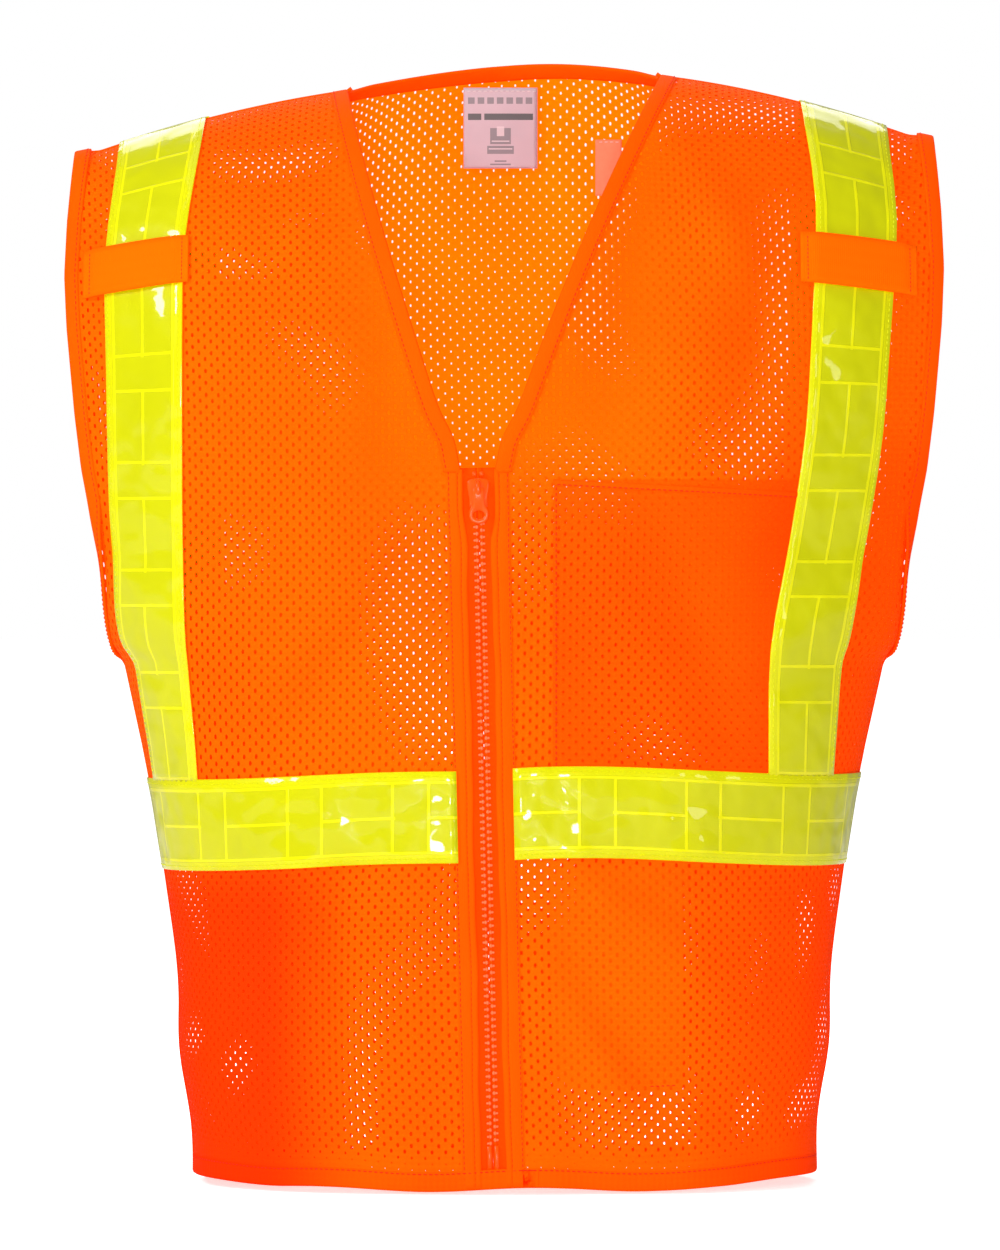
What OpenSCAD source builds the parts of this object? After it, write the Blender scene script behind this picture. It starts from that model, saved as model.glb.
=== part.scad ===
// Zip-front mesh safety vest in its worn shape, zipped up and standing on its hem.
// +Z is up, the front faces -Y, and the origin is the middle of the hem plane.
// The wearer's right is -X (side = -1) and the wearer's left is +X (side = 1).

/* [Torso] */
// Height of the neck points above the hem
neck_h = 617; // [600:1:640]
// Depth of the front from the side seams to the zip
front_depth = 132; // [125:1:145]
// Depth of the back from the side seams to the spine
back_depth = 118; // [110:1:130]
// Height where the armholes start
underarm_h = 300; // [290:1:310]
// Height where the chest starts to curve back to the shoulders
chest_h = 430; // [420:1:440]
// Squareness of the torso sections
section_power = 2.4; // [2.2:0.1:2.6]
// Share of the depth at which the armhole edges stand
armhole_share = 0.42; // [0.36:0.01:0.46]

/* [Neckline and zip] */
// Half width of the neck at the shoulders
neck_half = 88; // [84:1:92]
// Height of the bottom of the V neckline
v_bottom_h = 400; // [396:1:404]
// Half width of the zip strip from its middle to the mesh
strip_half = 16.5; // [15.5:0.5:17.5]
// Sideways place of the zip at its top
zip_top_x = -14.6; // [-16:0.1:-10]
// Sideways place of the zip at the hem
zip_bottom_x = -5.6; // [-8:0.1:0]

/* [Cloth and tape] */
// Thickness of the mesh cloth
cloth_t = 1.0; // [0.8:0.1:1.2]
// Thickness of the reflective tape
tape_t = 0.9; // [0.8:0.1:1.0]
// Width of the reflective tape
tape_w = 50.8; // [48:0.2:52]
// Height of the lower edge of the waist tape
waist_tape_h = 183; // [178:1:188]
// Width of the edge binding
binding_w = 9.5; // [8:0.5:11]
// Width of the webbing of the two clip tabs
webbing_w = 25.4; // [24:0.2:26]

/* [Zip hardware] */
// Distance between two teeth on one side
tooth_pitch = 3.7; // [3.5:0.1:4]
// Length of the slider body
slider_len = 17; // [15:1:18]
// Width of the slider body at its shoulders
slider_w = 12.5; // [12:0.5:14]
// Length of the pull tab
pull_len = 19.5; // [18:0.5:24]

/* [Hidden] */

front = -1;
back = 1;
right = -1;
left = 1;
gap = 0.3;
tape_gap = 0.5;
neck_rise = 34;
neck_edge_rise = 5;
shoulder_tip_x = 240;
edge_angle = 89.8;
neck_ref_x = 85;
mesh_ref_x = 75;
tape_ref_x = 190;
tab_ref_x = 205;
armhole_power = 2.8;
armhole_softness = 0.6;
armhole_rise = 90;
top_row = 1.995;
fold_gap = 0.6;
step = 0.5;
gap_row = 0.002;
shoulder_arc = 234;
binding_row = binding_w / shoulder_arc;
binding_t = 2.6;
v_half = 10;
fold_bottom_x = 127;
fold_lean = 0.1225;
right_fold_top = 500;
left_fold_top = 528;
arm_cloth_angle = 85.1;
arm_binding_angle = 86;
neck_end_angle = 17.2;
neck_step_angle = 0.7;
neck_col = 13;
back_cols = 42;
step_h = 1;
panel_rows = 36;
panel_step = 14;
inner_rows = 22;
inner_step = 15;
tape_off = cloth_t / 2 + tape_gap;
tab_off = tape_off + tape_t + gap;
back_tape_low_x = 150;
back_tape_high_x = 166;
back_tape_high_h = 600;
tab_inner_x = 175;
tab_outer_x = 233;
tab_h = 493;
webbing_t = 1.2;
pocket_inner_x = 27;
pocket_low_h = 236;
pocket_top_h = 392;
pocket_side_gap = 1.5;
inside_pocket_x = 100;
inside_pocket_low_h = 56;
inside_pocket_top_h = 178;
zip_tilt = atan((zip_bottom_x - zip_top_x) / v_bottom_h);
tape_depth = 2.2;
zip_tape_t = 0.7;
facing_t = 1.2;
zip_low_h = 6;
zip_y = tape_depth - front_depth;
cut_depth = 20;
cut_extra = 5;
zip_end = 394;
teeth_start = 27;
teeth_end = zip_end - slider_len - 4;
tooth_t = 1.4;
tooth_inner = 0.7;
tooth_w = 2.6;
tooth_depth = 2.4;
stop_len = 2.6;
box_half = tooth_inner + tooth_w;
box_len = 12;
box_wall = 1.2;
box_floor = 1.8;
box_h = 9.5;
pin_h = box_h + box_floor + 0.5;
tape_inner = tooth_inner + tooth_w + gap;
facing_inner = 6.6;
slider_h = 6.4;
channel_h = 3.2;
plate_t = (slider_h - channel_h) / 2;
slit = 0.7;
wedge_t = 0.9;
slider_top = zip_end;
pivot_r = 1.0;
pivot_y = -(slider_h / 2 + 1.9);
pivot_z = 3;
pivot_fit = 0.06;
ear_x = 2.9;
ear_t = 1.2;
ear_len = 4;
flange_t = 1.4;
barrel_r = 1.75;
barrel_half = 2.1;
hip_half = 3;
waist_half = 2.4;
waist_z = -9;
ring_neck_half = 3.6;
ring_hole_r = 2.4;
pull_t = 1.6;
pull_w = 10.5;
label_t = 0.4;
label_y = 50;
size_label_top = 617;
size_label_x = -23;
size_label_w = 42;
size_label_len = 46;
care_label_x = 52;
care_label_w = 15;
care_label_len = 32;
care_label_y = 64;
care_label_top = 588;

orange = [1.0, 0.36, 0.0];
trim_orange = [0.95, 0.33, 0.0];
lime = [0.82, 0.9, 0.0];
tag_white = [0.95, 0.88, 0.88];

// Half width of the vest at each height, from the hem to the shoulder tips
outline = [[0, 171], [100, 180], [220, 196], [300, 215], [400, 237], [510, 247], [600, 240]];
// Inner edges of the vertical tapes at each height, for the right and the left front
right_tape_edge = [[230, 169], [300, 176], [360, 178], [525, 178], [600, 166]];
left_tape_edge = [[230, 146], [300, 146], [360, 158], [420, 167], [540, 174], [600, 165]];

// Straight-line lookup, smoothed over a window so that the outline has no corners
function smooth_lookup(h, table, window = 30) =
    (lookup(h - window, table) + 2 * lookup(h, table) + lookup(h + window, table)) / 4;
function half_width(h) = smooth_lookup(h, outline);
function fold_top(side) = side == right ? right_fold_top : left_fold_top;
function clamp01(t) = min(1, max(0, t));
function mix(a, b, t) = a + (b - a) * t;

// Height of the shoulder ridge at a distance from the middle
function front_ridge(x) =
    let (t = (abs(x) - neck_half) / (shoulder_tip_x - neck_half)) neck_h - 20 * t - 19 * t * abs(t);
function back_ridge(x) =
    front_ridge(x) + neck_rise * max(0, 1 - pow(x / neck_half, 2));
function ridge(face, x) = face == front ? front_ridge(x) : back_ridge(x);

// Rows run from 0 at the hem to 1 at the chest, and from 1 to 2 over the shoulder
function row_height(face, row, x) =
    row <= 1 ? row * chest_h : chest_h + (ridge(face, x) - chest_h) * sin((row - 1) * 90);
function row_at(face, h, x) =
    h <= chest_h ? h / chest_h : 1 + asin(min(1, (h - chest_h) / (ridge(face, x) - chest_h))) / 90;

// Angle round the section at a sideways place and height, 0 in the middle and 90 at the side
function angle_at(x, h) =
    sign(x) * asin(min(1, pow(abs(x) / half_width(h), section_power / 2)));

// How far the armhole has opened at a height, from 0 at the underarm to 1
function armhole_open(h) =
    pow(sin(90 * clamp01((h - underarm_h) / armhole_rise)), armhole_softness);

// A point on the vest's surface at an angle and a row
function shell(face, a, row) =
    let (
        reach = pow(abs(sin(a)), 2 / section_power),
        h = row_height(face, row, sign(a) * reach * shoulder_tip_x),
        open = armhole_open(h),
        closed_share = pow(abs(cos(a)), 2 / section_power),
        open_share = 1 - (1 - armhole_share) * pow(reach, armhole_power),
        share = mix(closed_share, open_share, open),
        top = row <= 1 ? 1 : cos((row - 1) * 90),
        depth = face == front ? front_depth : back_depth
    )
    [sign(a) * reach * half_width(h), face * depth * share * top, h];

// Outward direction at an angle and a row, kept level at the hem so that the hem is flat
function outward(face, a, row) =
    let (
        a0 = max(-edge_angle, a - step),
        a1 = min(edge_angle, a + step),
        r0 = max(0, row - step / 90),
        r1 = min(2, row + step / 90),
        da = shell(face, a1, row) - shell(face, a0, row),
        dr = shell(face, a, r1) - shell(face, a, r0),
        n = face == front ? cross(da, dr) : cross(dr, da),
        flat = row == 0 ? [n.x, n.y, 0] : n
    )
    flat / norm(flat);

// Angle of a sideways place on a row
function angle_on(face, x, row) = angle_at(x, row_height(face, row, x));

// A sheet of cloth on the shell. place(u, t) gives the angle and the row of a spot, with u
// across and t upwards. off0 and off1 are the sheet's two faces, counted outwards.
module sheet(face, place, off0, off1, cols, rows) {
    spots = [for (j = [0:rows], i = [0:cols]) place(i / cols, j / rows)];
    inner = [for (s = spots) shell(face, s[0], s[1]) + off0 * outward(face, s[0], s[1])];
    outer = [for (s = spots) shell(face, s[0], s[1]) + off1 * outward(face, s[0], s[1])];
    n = len(spots);
    w = cols + 1;
    loop = concat([for (i = [0:cols - 1]) i],
                  [for (j = [0:rows - 1]) j * w + cols],
                  [for (i = [cols:-1:1]) rows * w + i],
                  [for (j = [rows:-1:1]) j * w]);
    quads = [for (j = [0:rows - 1], i = [0:cols - 1])
             [j * w + i, j * w + i + 1, (j + 1) * w + i + 1, (j + 1) * w + i]];
    tris = [for (q = quads) each [[q[0], q[1], q[2]], [q[0], q[2], q[3]]]];
    rim = [for (k = [0:len(loop) - 1]) let (p = loop[k], q = loop[(k + 1) % len(loop)])
           each [[p, q + n, q], [p, p + n, q + n]]];
    faces = concat(tris, [for (t = tris) [t[2] + n, t[1] + n, t[0] + n]], rim);
    turn = (place(1, 0)[0] > place(0, 0)[0]) == (face == front);
    polyhedron(points = concat(inner, outer),
               faces = turn ? [for (t = faces) [t[2], t[1], t[0]]] : faces,
               convexity = 6);
}

// The usual sheet: two edge curves, given as angles at a row, between two rows
module band(face, edge_a, edge_b, row0, row1, off0, off1, cols, rows)
    sheet(face, function(u, t) let (r = mix(row0, row1, t)) [mix(edge_a(r), edge_b(r), u), r],
          off0, off1, cols, rows);

// Front edge curves, as sideways places at each height
function zip_x(h) = mix(zip_bottom_x, zip_top_x, h / v_bottom_h);
function neck_part(h) = clamp01((h - v_bottom_h) / (neck_h - v_bottom_h));
function neck_x(side, h) =
    zip_top_x * (1 - pow(neck_part(h), 2)) + side * mix(v_half, neck_half, neck_part(h));
// The free front edge of the mesh runs beside the zip strip, then beside the neck binding
function mesh_x(side, h) =
    let (by_zip = side * zip_x(h) + strip_half,
         by_neck = side * neck_x(side, h) + binding_w + gap)
    side * (h < v_bottom_h ? by_zip : max(by_zip, by_neck));
// The line along which an opened front folds away from the body
function fold_x(side, h) = side * (fold_bottom_x - fold_lean * h);
function tape_edge_x(side, h) =
    side * smooth_lookup(h, side == right ? right_tape_edge : left_tape_edge, 20);

// The same curves as angles at a row
function mesh_angle(side, row) =
    let (h = row_height(front, row, mesh_ref_x)) angle_at(mesh_x(side, h), h);
function fold_angle(side, row, shift) =
    let (h = row_height(front, row, mesh_ref_x)) angle_at(fold_x(side, h) + side * shift, h);
function free_angle(side, row) =
    side * max(side * mesh_angle(side, row), side * fold_angle(side, row, fold_gap));
function neck_angle(side, row, shift) =
    let (h = row_height(front, row, neck_ref_x)) angle_at(neck_x(side, h) + side * shift, h);
function zip_angle(side, row, shift) =
    let (h = row * chest_h) angle_at(zip_x(h) + side * shift, h);

// The angle one tape width further round the shell than a start angle, found by small steps
function walk(face, a, row, dist, dir, done = 0) =
    done >= dist || abs(a) >= edge_angle - 1 ? a
    : let (next = a + dir)
      walk(face, next, row, dist, dir, done + norm(shell(face, next, row) - shell(face, a, row)));
function tape_angle(side, row) =
    let (h = row_height(front, row, tape_ref_x)) angle_at(tape_edge_x(side, h), h);
function tape_far_angle(side, row) = walk(front, tape_angle(side, row), row, tape_w, side);
function back_tape_angle(side, row) =
    let (h = row_height(back, row, tape_ref_x))
    angle_at(side * mix(back_tape_low_x, back_tape_high_x, h / back_tape_high_h), h);
function back_tape_far_angle(side, row) =
    walk(back, back_tape_angle(side, row), row, tape_w, side);

// Outer edge of the cloth: the side seam, then the inside of the armhole binding
function cloth_side_angle(side, row) =
    side * (row > underarm_h / chest_h ? arm_cloth_angle : edge_angle);
// Row of the back neckline at an angle, moved down by a share of a row
function back_top_row(a, drop) =
    let (x = shoulder_tip_x * pow(abs(sin(a)), 2 / section_power),
         edge = neck_h + neck_edge_rise * (1 - pow(x / neck_half, 2)))
    x >= neck_half ? top_row : min(top_row, row_at(back, edge, x) - drop);

// Rows of a sheet from the hem to a last row, with one narrow row where its edge steps at h
function stepped_row(t, h, step_at, rows, last) =
    lookup(t, [[0, 0],
               [step_at / rows, (h - step_h) / chest_h],
               [(step_at + 1) / rows, (h + step_h) / chest_h],
               [1, last]]);

// Two halves of each front panel: inner beside the zip, outer from the fold to the side
module front_inner(side)
    sheet(front,
          function(u, t) let (
              r = stepped_row(t, v_bottom_h, inner_step, inner_rows,
                              row_at(front, fold_top(side), mesh_ref_x))
          ) [mix(mesh_angle(side, r), fold_angle(side, r, -fold_gap), u), r],
          -cloth_t / 2, cloth_t / 2, 6, inner_rows);
module front_outer(side)
    sheet(front,
          function(u, t) let (
              r = stepped_row(t, underarm_h, panel_step, panel_rows, top_row)
          ) [mix(free_angle(side, r), cloth_side_angle(side, r), u), r],
          -cloth_t / 2, cloth_t / 2, 12, panel_rows);

module back_panel()
    color(orange)
    sheet(back,
          function(u, t) let (
              r = stepped_row(t, underarm_h, panel_step, panel_rows, top_row),
              side_a = cloth_side_angle(left, r),
              a = lookup(u, [[0, -side_a],
                             [neck_col / back_cols, -neck_end_angle - neck_step_angle],
                             [(neck_col + 1) / back_cols, -neck_end_angle],
                             [1 - (neck_col + 1) / back_cols, neck_end_angle],
                             [1 - neck_col / back_cols, neck_end_angle + neck_step_angle],
                             [1, side_a]]),
              top = back_top_row(a, binding_row + gap_row)
          ) [a, r <= 1 ? r : 1 + (r - 1) * (top - 1) / (top_row - 1)],
          -cloth_t / 2, cloth_t / 2, back_cols, panel_rows);
module right_front_panel_inner() color(orange) front_inner(right);
module left_front_panel_inner() color(orange) front_inner(left);
module right_front_panel_outer() color(orange) front_outer(right);
module left_front_panel_outer() color(orange) front_outer(left);

// Binding round the neck
module back_neck_binding()
    color(trim_orange)
    sheet(back,
          function(u, t) let (a = mix(-neck_end_angle, neck_end_angle, u))
              [a, back_top_row(a, mix(binding_row - gap_row, 0, t))],
          -binding_t / 2, binding_t / 2, back_cols - 2 * (neck_col + 1), 1);
module neck_binding(side, row0, row1, rows)
    color(trim_orange)
    band(front, function(r) neck_angle(side, r, 0), function(r) neck_angle(side, r, binding_w),
         row0, row1, -binding_t / 2, binding_t / 2, 1, rows);
module right_neck_binding_upper()
    neck_binding(right, row_at(front, fold_top(right) + 1, neck_ref_x), top_row, 12);
module left_neck_binding_upper()
    neck_binding(left, row_at(front, fold_top(left) + 1, neck_ref_x), top_row, 12);
module right_neck_binding_lower()
    neck_binding(right, row_at(front, v_bottom_h + step_h, neck_ref_x),
                 row_at(front, fold_top(right), neck_ref_x), 10);
module left_neck_binding_lower()
    neck_binding(left, row_at(front, v_bottom_h + step_h, neck_ref_x),
                 row_at(front, fold_top(left), neck_ref_x), 12);

// Binding round the armholes
module armhole_binding(side, face)
    color(trim_orange)
    band(face, function(r) side * arm_binding_angle, function(r) side * edge_angle,
         (underarm_h + 2 * step_h) / chest_h, top_row,
         -binding_t / 2, binding_t / 2, 2, 24);
module right_armhole_binding_front() armhole_binding(right, front);
module left_armhole_binding_front() armhole_binding(left, front);
module right_armhole_binding_back() armhole_binding(right, back);
module left_armhole_binding_back() armhole_binding(left, back);

// Reflective tape down the fronts and the back
module front_tape(side)
    color(lime)
    band(front, function(r) tape_angle(side, r), function(r) tape_far_angle(side, r),
         (waist_tape_h + tape_w + gap) / chest_h, top_row, tape_off, tape_off + tape_t, 4, 26);
module right_front_tape() front_tape(right);
module left_front_tape() front_tape(left);
module back_tape(side)
    color(lime)
    band(back, function(r) back_tape_angle(side, r), function(r) back_tape_far_angle(side, r),
         (waist_tape_h + tape_w + gap) / chest_h, top_row, tape_off, tape_off + tape_t, 4, 26);
module right_back_tape() back_tape(right);
module left_back_tape() back_tape(left);

// Reflective tape round the waist
module waist_tape(face, edge_a, edge_b, cols)
    color(lime)
    band(face, edge_a, edge_b, waist_tape_h / chest_h, (waist_tape_h + tape_w) / chest_h,
         tape_off, tape_off + tape_t, cols, 2);
module back_waist_tape()
    waist_tape(back, function(r) -edge_angle, function(r) edge_angle, 40);
module waist_inner(side)
    waist_tape(front, function(r) zip_angle(side, r, strip_half - 1),
               function(r) fold_angle(side, r, -fold_gap), 8);
module waist_outer(side)
    waist_tape(front, function(r) fold_angle(side, r, fold_gap),
               function(r) side * edge_angle, 14);
module right_waist_tape_inner() waist_inner(right);
module left_waist_tape_inner() waist_inner(left);
module right_waist_tape_outer() waist_outer(right);
module left_waist_tape_outer() waist_outer(left);

// Webbing tabs sewn across the tapes at chest height, for clipping a radio microphone
module clip_tab(side)
    color(trim_orange)
    band(front, function(r) angle_on(front, side * tab_inner_x, r),
         function(r) angle_on(front, side * tab_outer_x, r),
         row_at(front, tab_h, tab_ref_x), row_at(front, tab_h + webbing_w, tab_ref_x),
         tab_off, tab_off + webbing_t, 8, 2);
module right_clip_tab() clip_tab(right);
module left_clip_tab() clip_tab(left);

// Pockets on the left front: one outside on the chest, one inside below the waist
module chest_pocket_inner()
    color(orange)
    band(front, function(r) angle_on(front, pocket_inner_x, r),
         function(r) fold_angle(left, r, -fold_gap),
         pocket_low_h / chest_h, pocket_top_h / chest_h, tape_off, tape_off + cloth_t, 6, 10);
module chest_pocket_outer()
    color(orange)
    band(front, function(r) fold_angle(left, r, fold_gap),
         function(r) let (h = r * chest_h) angle_at(tape_edge_x(left, h) - pocket_side_gap, h),
         pocket_low_h / chest_h, pocket_top_h / chest_h, tape_off, tape_off + cloth_t, 6, 10);
module inside_pocket()
    color(orange)
    band(front, function(r) angle_on(front, pocket_inner_x, r),
         function(r) angle_on(front, inside_pocket_x, r),
         inside_pocket_low_h / chest_h, inside_pocket_top_h / chest_h,
         -tape_off - cloth_t, -tape_off, 6, 8);

// Puts its children on the zip line, with their own +Z along the zip
module on_zip(h)
    translate([zip_x(h), zip_y, h])
    rotate([0, -zip_tilt, 0])
    children();

// Facings cover the tapes, and the tapes carry the teeth
module facing(side)
    color(trim_orange)
    band(front, function(r) zip_angle(side, r, facing_inner),
         function(r) zip_angle(side, r, strip_half - 2 * gap),
         0, (v_bottom_h - step_h) / chest_h, -facing_t / 2, facing_t / 2, 2, 4);
module right_zip_facing() facing(right);
module left_zip_facing() facing(left);
module zip_tape(side)
    color(trim_orange)
    band(front, function(r) zip_angle(side, r, tape_inner),
         function(r) zip_angle(side, r, strip_half - 2 * gap),
         zip_low_h / chest_h, (zip_end + 4) / chest_h,
         -tape_depth - zip_tape_t / 2, -tape_depth + zip_tape_t / 2, 2, 4);
module left_zip_tape() zip_tape(left);
// The right tape stands clear of the slider, which stays on the left side
module right_zip_tape()
    color(trim_orange)
    difference() {
        zip_tape(right);
        on_zip(zip_end - slider_len / 2)
            cube([slider_w + 4 * gap, cut_depth, slider_len + cut_extra], center = true);
    }
module teeth(side, shift)
    color(trim_orange)
    for (h = [teeth_start + shift:tooth_pitch:teeth_end])
        on_zip(h)
            translate([side * (tooth_inner + tooth_w / 2), 0, 0])
            cube([tooth_w, tooth_depth, tooth_t], center = true);
module right_zip_teeth() teeth(right, 0);
module left_zip_teeth() teeth(left, tooth_pitch / 2);
module top_stop(side)
    color(trim_orange)
    on_zip(zip_end + stop_len)
        translate([side * (tooth_inner + tooth_w / 2), 0, 0])
        cube([tooth_w, tooth_depth, stop_len], center = true);
module right_top_stop() top_stop(right);
module left_top_stop() top_stop(left);

// The pin on the right stands in the box on the left, and leaves it through its open front
module insertion_pin()
    color(trim_orange)
    on_zip(pin_h)
        translate([-tooth_inner - tooth_w, -tooth_depth / 2, 0])
        cube([tooth_w, tooth_depth, teeth_start - pin_h - tooth_t]);
module retainer_box()
    color(trim_orange)
    on_zip(box_h) {
        translate([-box_half, tooth_depth / 2 + gap, 0])
            cube([2 * box_half, box_wall, box_len]);
        translate([-box_half, -tooth_depth / 2, 0])
            cube([2 * box_half, tooth_depth + gap + box_wall, box_floor]);
        translate([tooth_inner, -tooth_depth / 2, 0])
            cube([tooth_w, tooth_depth + gap + box_wall, teeth_start - box_h - tooth_t]);
    }

// Slider: two plates joined by a thin wedge between the chains, with ears for the pull tab
module slider_body()
    color(trim_orange)
    on_zip(slider_top - slider_len / 2) {
        for (s = [-1, 1])
            scale([1, s, 1])
                slider_plate();
        translate([0, 0, slider_len / 2 - 2])
            cube([wedge_t, slider_h, 4], center = true);
        for (s = [-1, 1])
            translate([s * ear_x, pivot_y / 2 - slider_h / 4, pivot_z])
                cube([ear_t, -pivot_y - slider_h / 2 + 2 * pivot_r, ear_len], center = true);
        translate([-ear_x - ear_t / 2, pivot_y, pivot_z])
            rotate([0, 90, 0])
            cylinder(r = pivot_r, h = 2 * ear_x + ear_t, $fn = 32);
    }
// One plate with its two flanges, which hold the teeth and leave a slit for the tape
module slider_plate() {
    translate([0, channel_h / 2, 0])
        rotate([-90, 0, 0])
        linear_extrude(plate_t)
        polygon([[-slider_w / 2, -slider_len / 2], [slider_w / 2, -slider_len / 2],
                 [slider_w / 2 - 1, slider_len / 2], [-slider_w / 2 + 1, slider_len / 2]]);
    for (s = [-1, 1])
        translate([s * (slider_w / 2 - 1 - flange_t / 2), channel_h / 4 + slit / 2, 0])
            cube([flange_t, channel_h / 2 - slit + gap, slider_len], center = true);
}

// Pull tab: a barrel on the slider's pin, a narrow waist and a ring to grip
module pull_tab()
    color(trim_orange)
    on_zip(slider_top - slider_len / 2)
    translate([0, pivot_y, pivot_z]) {
        difference() {
            union() {
                rotate([0, 90, 0])
                    cylinder(r = barrel_r, h = 2 * barrel_half, center = true, $fn = 32);
                translate([0, pull_t / 2, 0])
                    rotate([90, 0, 0])
                    linear_extrude(pull_t)
                    polygon(pull_outline());
                translate([0, pull_t / 2, -pull_len + pull_w / 2])
                    rotate([90, 0, 0])
                    cylinder(r = pull_w / 2, h = pull_t, $fn = 48);
            }
            rotate([0, 90, 0])
                cylinder(r = pivot_r + pivot_fit, h = 4 * ear_x, center = true, $fn = 32);
            translate([0, pull_t, -pull_len + pull_w / 2])
                rotate([90, 0, 0])
                cylinder(r = ring_hole_r, h = 2 * pull_t, $fn = 32);
        }
    }
// Half of the flat outline, as pairs of half width and height, then the same mirrored
function pull_half() =
    [[barrel_half, 0], [barrel_half, -ear_len], [hip_half, -ear_len - 2],
     [waist_half, waist_z], [ring_neck_half, -pull_len + 0.86 * pull_w]];
function pull_outline() =
    let (half = pull_half(), n = len(half))
    concat(half, [for (k = [n - 1:-1:0]) [-half[k].x, half[k].y]]);

// Sewn-in labels that hang inside the neck from their top edges
module size_label()
    color(tag_white)
    translate([size_label_x, label_y, size_label_top - size_label_len])
    cube([size_label_w, label_t, size_label_len]);
module care_label()
    color(tag_white)
    translate([care_label_x, care_label_y, care_label_top - care_label_len])
    cube([care_label_w, label_t, care_label_len]);

back_panel();
back_neck_binding();
back_waist_tape();
right_back_tape();
left_back_tape();
right_front_panel_outer();
left_front_panel_outer();
right_front_tape();
left_front_tape();
right_waist_tape_outer();
left_waist_tape_outer();
right_neck_binding_upper();
left_neck_binding_upper();
right_armhole_binding_front();
left_armhole_binding_front();
right_armhole_binding_back();
left_armhole_binding_back();
right_clip_tab();
left_clip_tab();
chest_pocket_outer();
right_front_panel_inner();
right_neck_binding_lower();
right_waist_tape_inner();
right_zip_facing();
right_zip_tape();
right_zip_teeth();
right_top_stop();
insertion_pin();
left_front_panel_inner();
left_neck_binding_lower();
left_waist_tape_inner();
chest_pocket_inner();
inside_pocket();
left_zip_facing();
left_zip_tape();
left_zip_teeth();
left_top_stop();
retainer_box();
slider_body();
pull_tab();
size_label();
care_label();
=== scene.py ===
"""Looks of a zip-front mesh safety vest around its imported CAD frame.

Lengths in this script are in millimetres until a mesh is made, which is in metres.
The wearer's right is side -1 (towards -X), and the front faces -Y.
"""
import bpy
import math
import numpy as np
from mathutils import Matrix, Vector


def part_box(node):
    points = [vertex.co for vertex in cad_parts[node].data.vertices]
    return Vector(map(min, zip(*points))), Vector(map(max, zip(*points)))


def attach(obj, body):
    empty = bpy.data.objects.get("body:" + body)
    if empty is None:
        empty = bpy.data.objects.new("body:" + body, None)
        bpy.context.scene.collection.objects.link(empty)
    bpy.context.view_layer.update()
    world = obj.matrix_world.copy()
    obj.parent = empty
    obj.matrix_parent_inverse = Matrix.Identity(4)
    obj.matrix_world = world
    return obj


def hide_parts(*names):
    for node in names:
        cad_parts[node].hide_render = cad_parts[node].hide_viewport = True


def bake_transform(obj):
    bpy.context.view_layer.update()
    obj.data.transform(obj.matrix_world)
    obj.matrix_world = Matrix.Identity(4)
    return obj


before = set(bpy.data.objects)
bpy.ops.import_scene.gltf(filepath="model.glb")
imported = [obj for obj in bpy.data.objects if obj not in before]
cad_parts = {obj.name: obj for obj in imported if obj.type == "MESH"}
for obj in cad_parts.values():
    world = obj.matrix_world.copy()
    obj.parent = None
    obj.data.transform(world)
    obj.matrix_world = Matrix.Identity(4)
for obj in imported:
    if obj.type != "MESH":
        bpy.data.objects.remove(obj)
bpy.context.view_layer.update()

MM = 0.001
FRONT, BACK = -1, 1
RIGHT, LEFT = -1, 1
SIDE_NAME = {RIGHT: "right", LEFT: "left"}


def box_mm(node):
    low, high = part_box(node)
    return np.array(low) / MM, np.array(high) / MM


# ---------------------------------------------------------------- dimensions
FACING_T = 1.2
CLOTH_T = 1.0
FRONT_DEPTH = -box_mm("right_zip_facing")[0][1] - FACING_T / 2
BACK_DEPTH = box_mm("back_panel")[1][1] - CLOTH_T / 2
WAIST_LOW = box_mm("right_waist_tape_inner")[0][2]
TAPE_W = 50.8
UNDERARM = 300.0
CHEST = 430.0
POWER = 2.4
ARM_SHARE = 0.42
NECK_HALF = 88.0
NECK_H = 617.0
NECK_RISE = 34.0
TIP_X = 240.0
V_BOTTOM = 400.0
STRIP_HALF = 16.5
ZIP_TOP_X = -14.6
ZIP_LOW_X = -5.6
BINDING_W = 9.5
ARC_TOP = 248.0          # arc from the chest row over the shoulder to the ridge
OUTLINE = ((0, 171), (100, 180), (220, 196), (300, 215), (400, 237), (510, 247), (600, 240))
TAPE_EDGE = {
    RIGHT: ((230, 169), (300, 176), (360, 178), (525, 178), (600, 166)),
    LEFT: ((230, 146), (300, 146), (360, 158), (420, 167), (540, 174), (600, 165)),
}
FOLD_LEAN = 0.1225

HOLE_PITCH_X = 3.7
HOLE_PITCH_Z = 6.8
HOLE_HALF_X = 0.88
HOLE_HALF_Z = 1.18


# ---------------------------------------------------------------- the shell
def smooth_lookup(h, table, window=30.0):
    xs, ys = zip(*table)
    return (np.interp(h - window, xs, ys) + 2 * np.interp(h, xs, ys) + np.interp(h + window, xs, ys)) / 4


def half_width(h):
    return smooth_lookup(h, OUTLINE)


def ridge(face, x):
    t = (np.abs(x) - NECK_HALF) / (TIP_X - NECK_HALF)
    base = NECK_H - 20 * t - 19 * t * np.abs(t)
    if face == BACK:
        base = base + NECK_RISE * np.maximum(0, 1 - (x / NECK_HALF) ** 2)
    return base


def row_height(face, row, x):
    return np.where(row <= 1, row * CHEST, CHEST + (ridge(face, x) - CHEST) * np.sin((row - 1) * np.pi / 2))


def row_at(face, h, x):
    top = np.clip((h - CHEST) / (ridge(face, x) - CHEST), -1, 1)
    return np.where(h <= CHEST, h / CHEST, 1 + np.arcsin(top) * 2 / np.pi)


def angle_at(x, h):
    return np.sign(x) * np.degrees(np.arcsin(np.minimum(1, (np.abs(x) / half_width(h)) ** (POWER / 2))))


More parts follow.
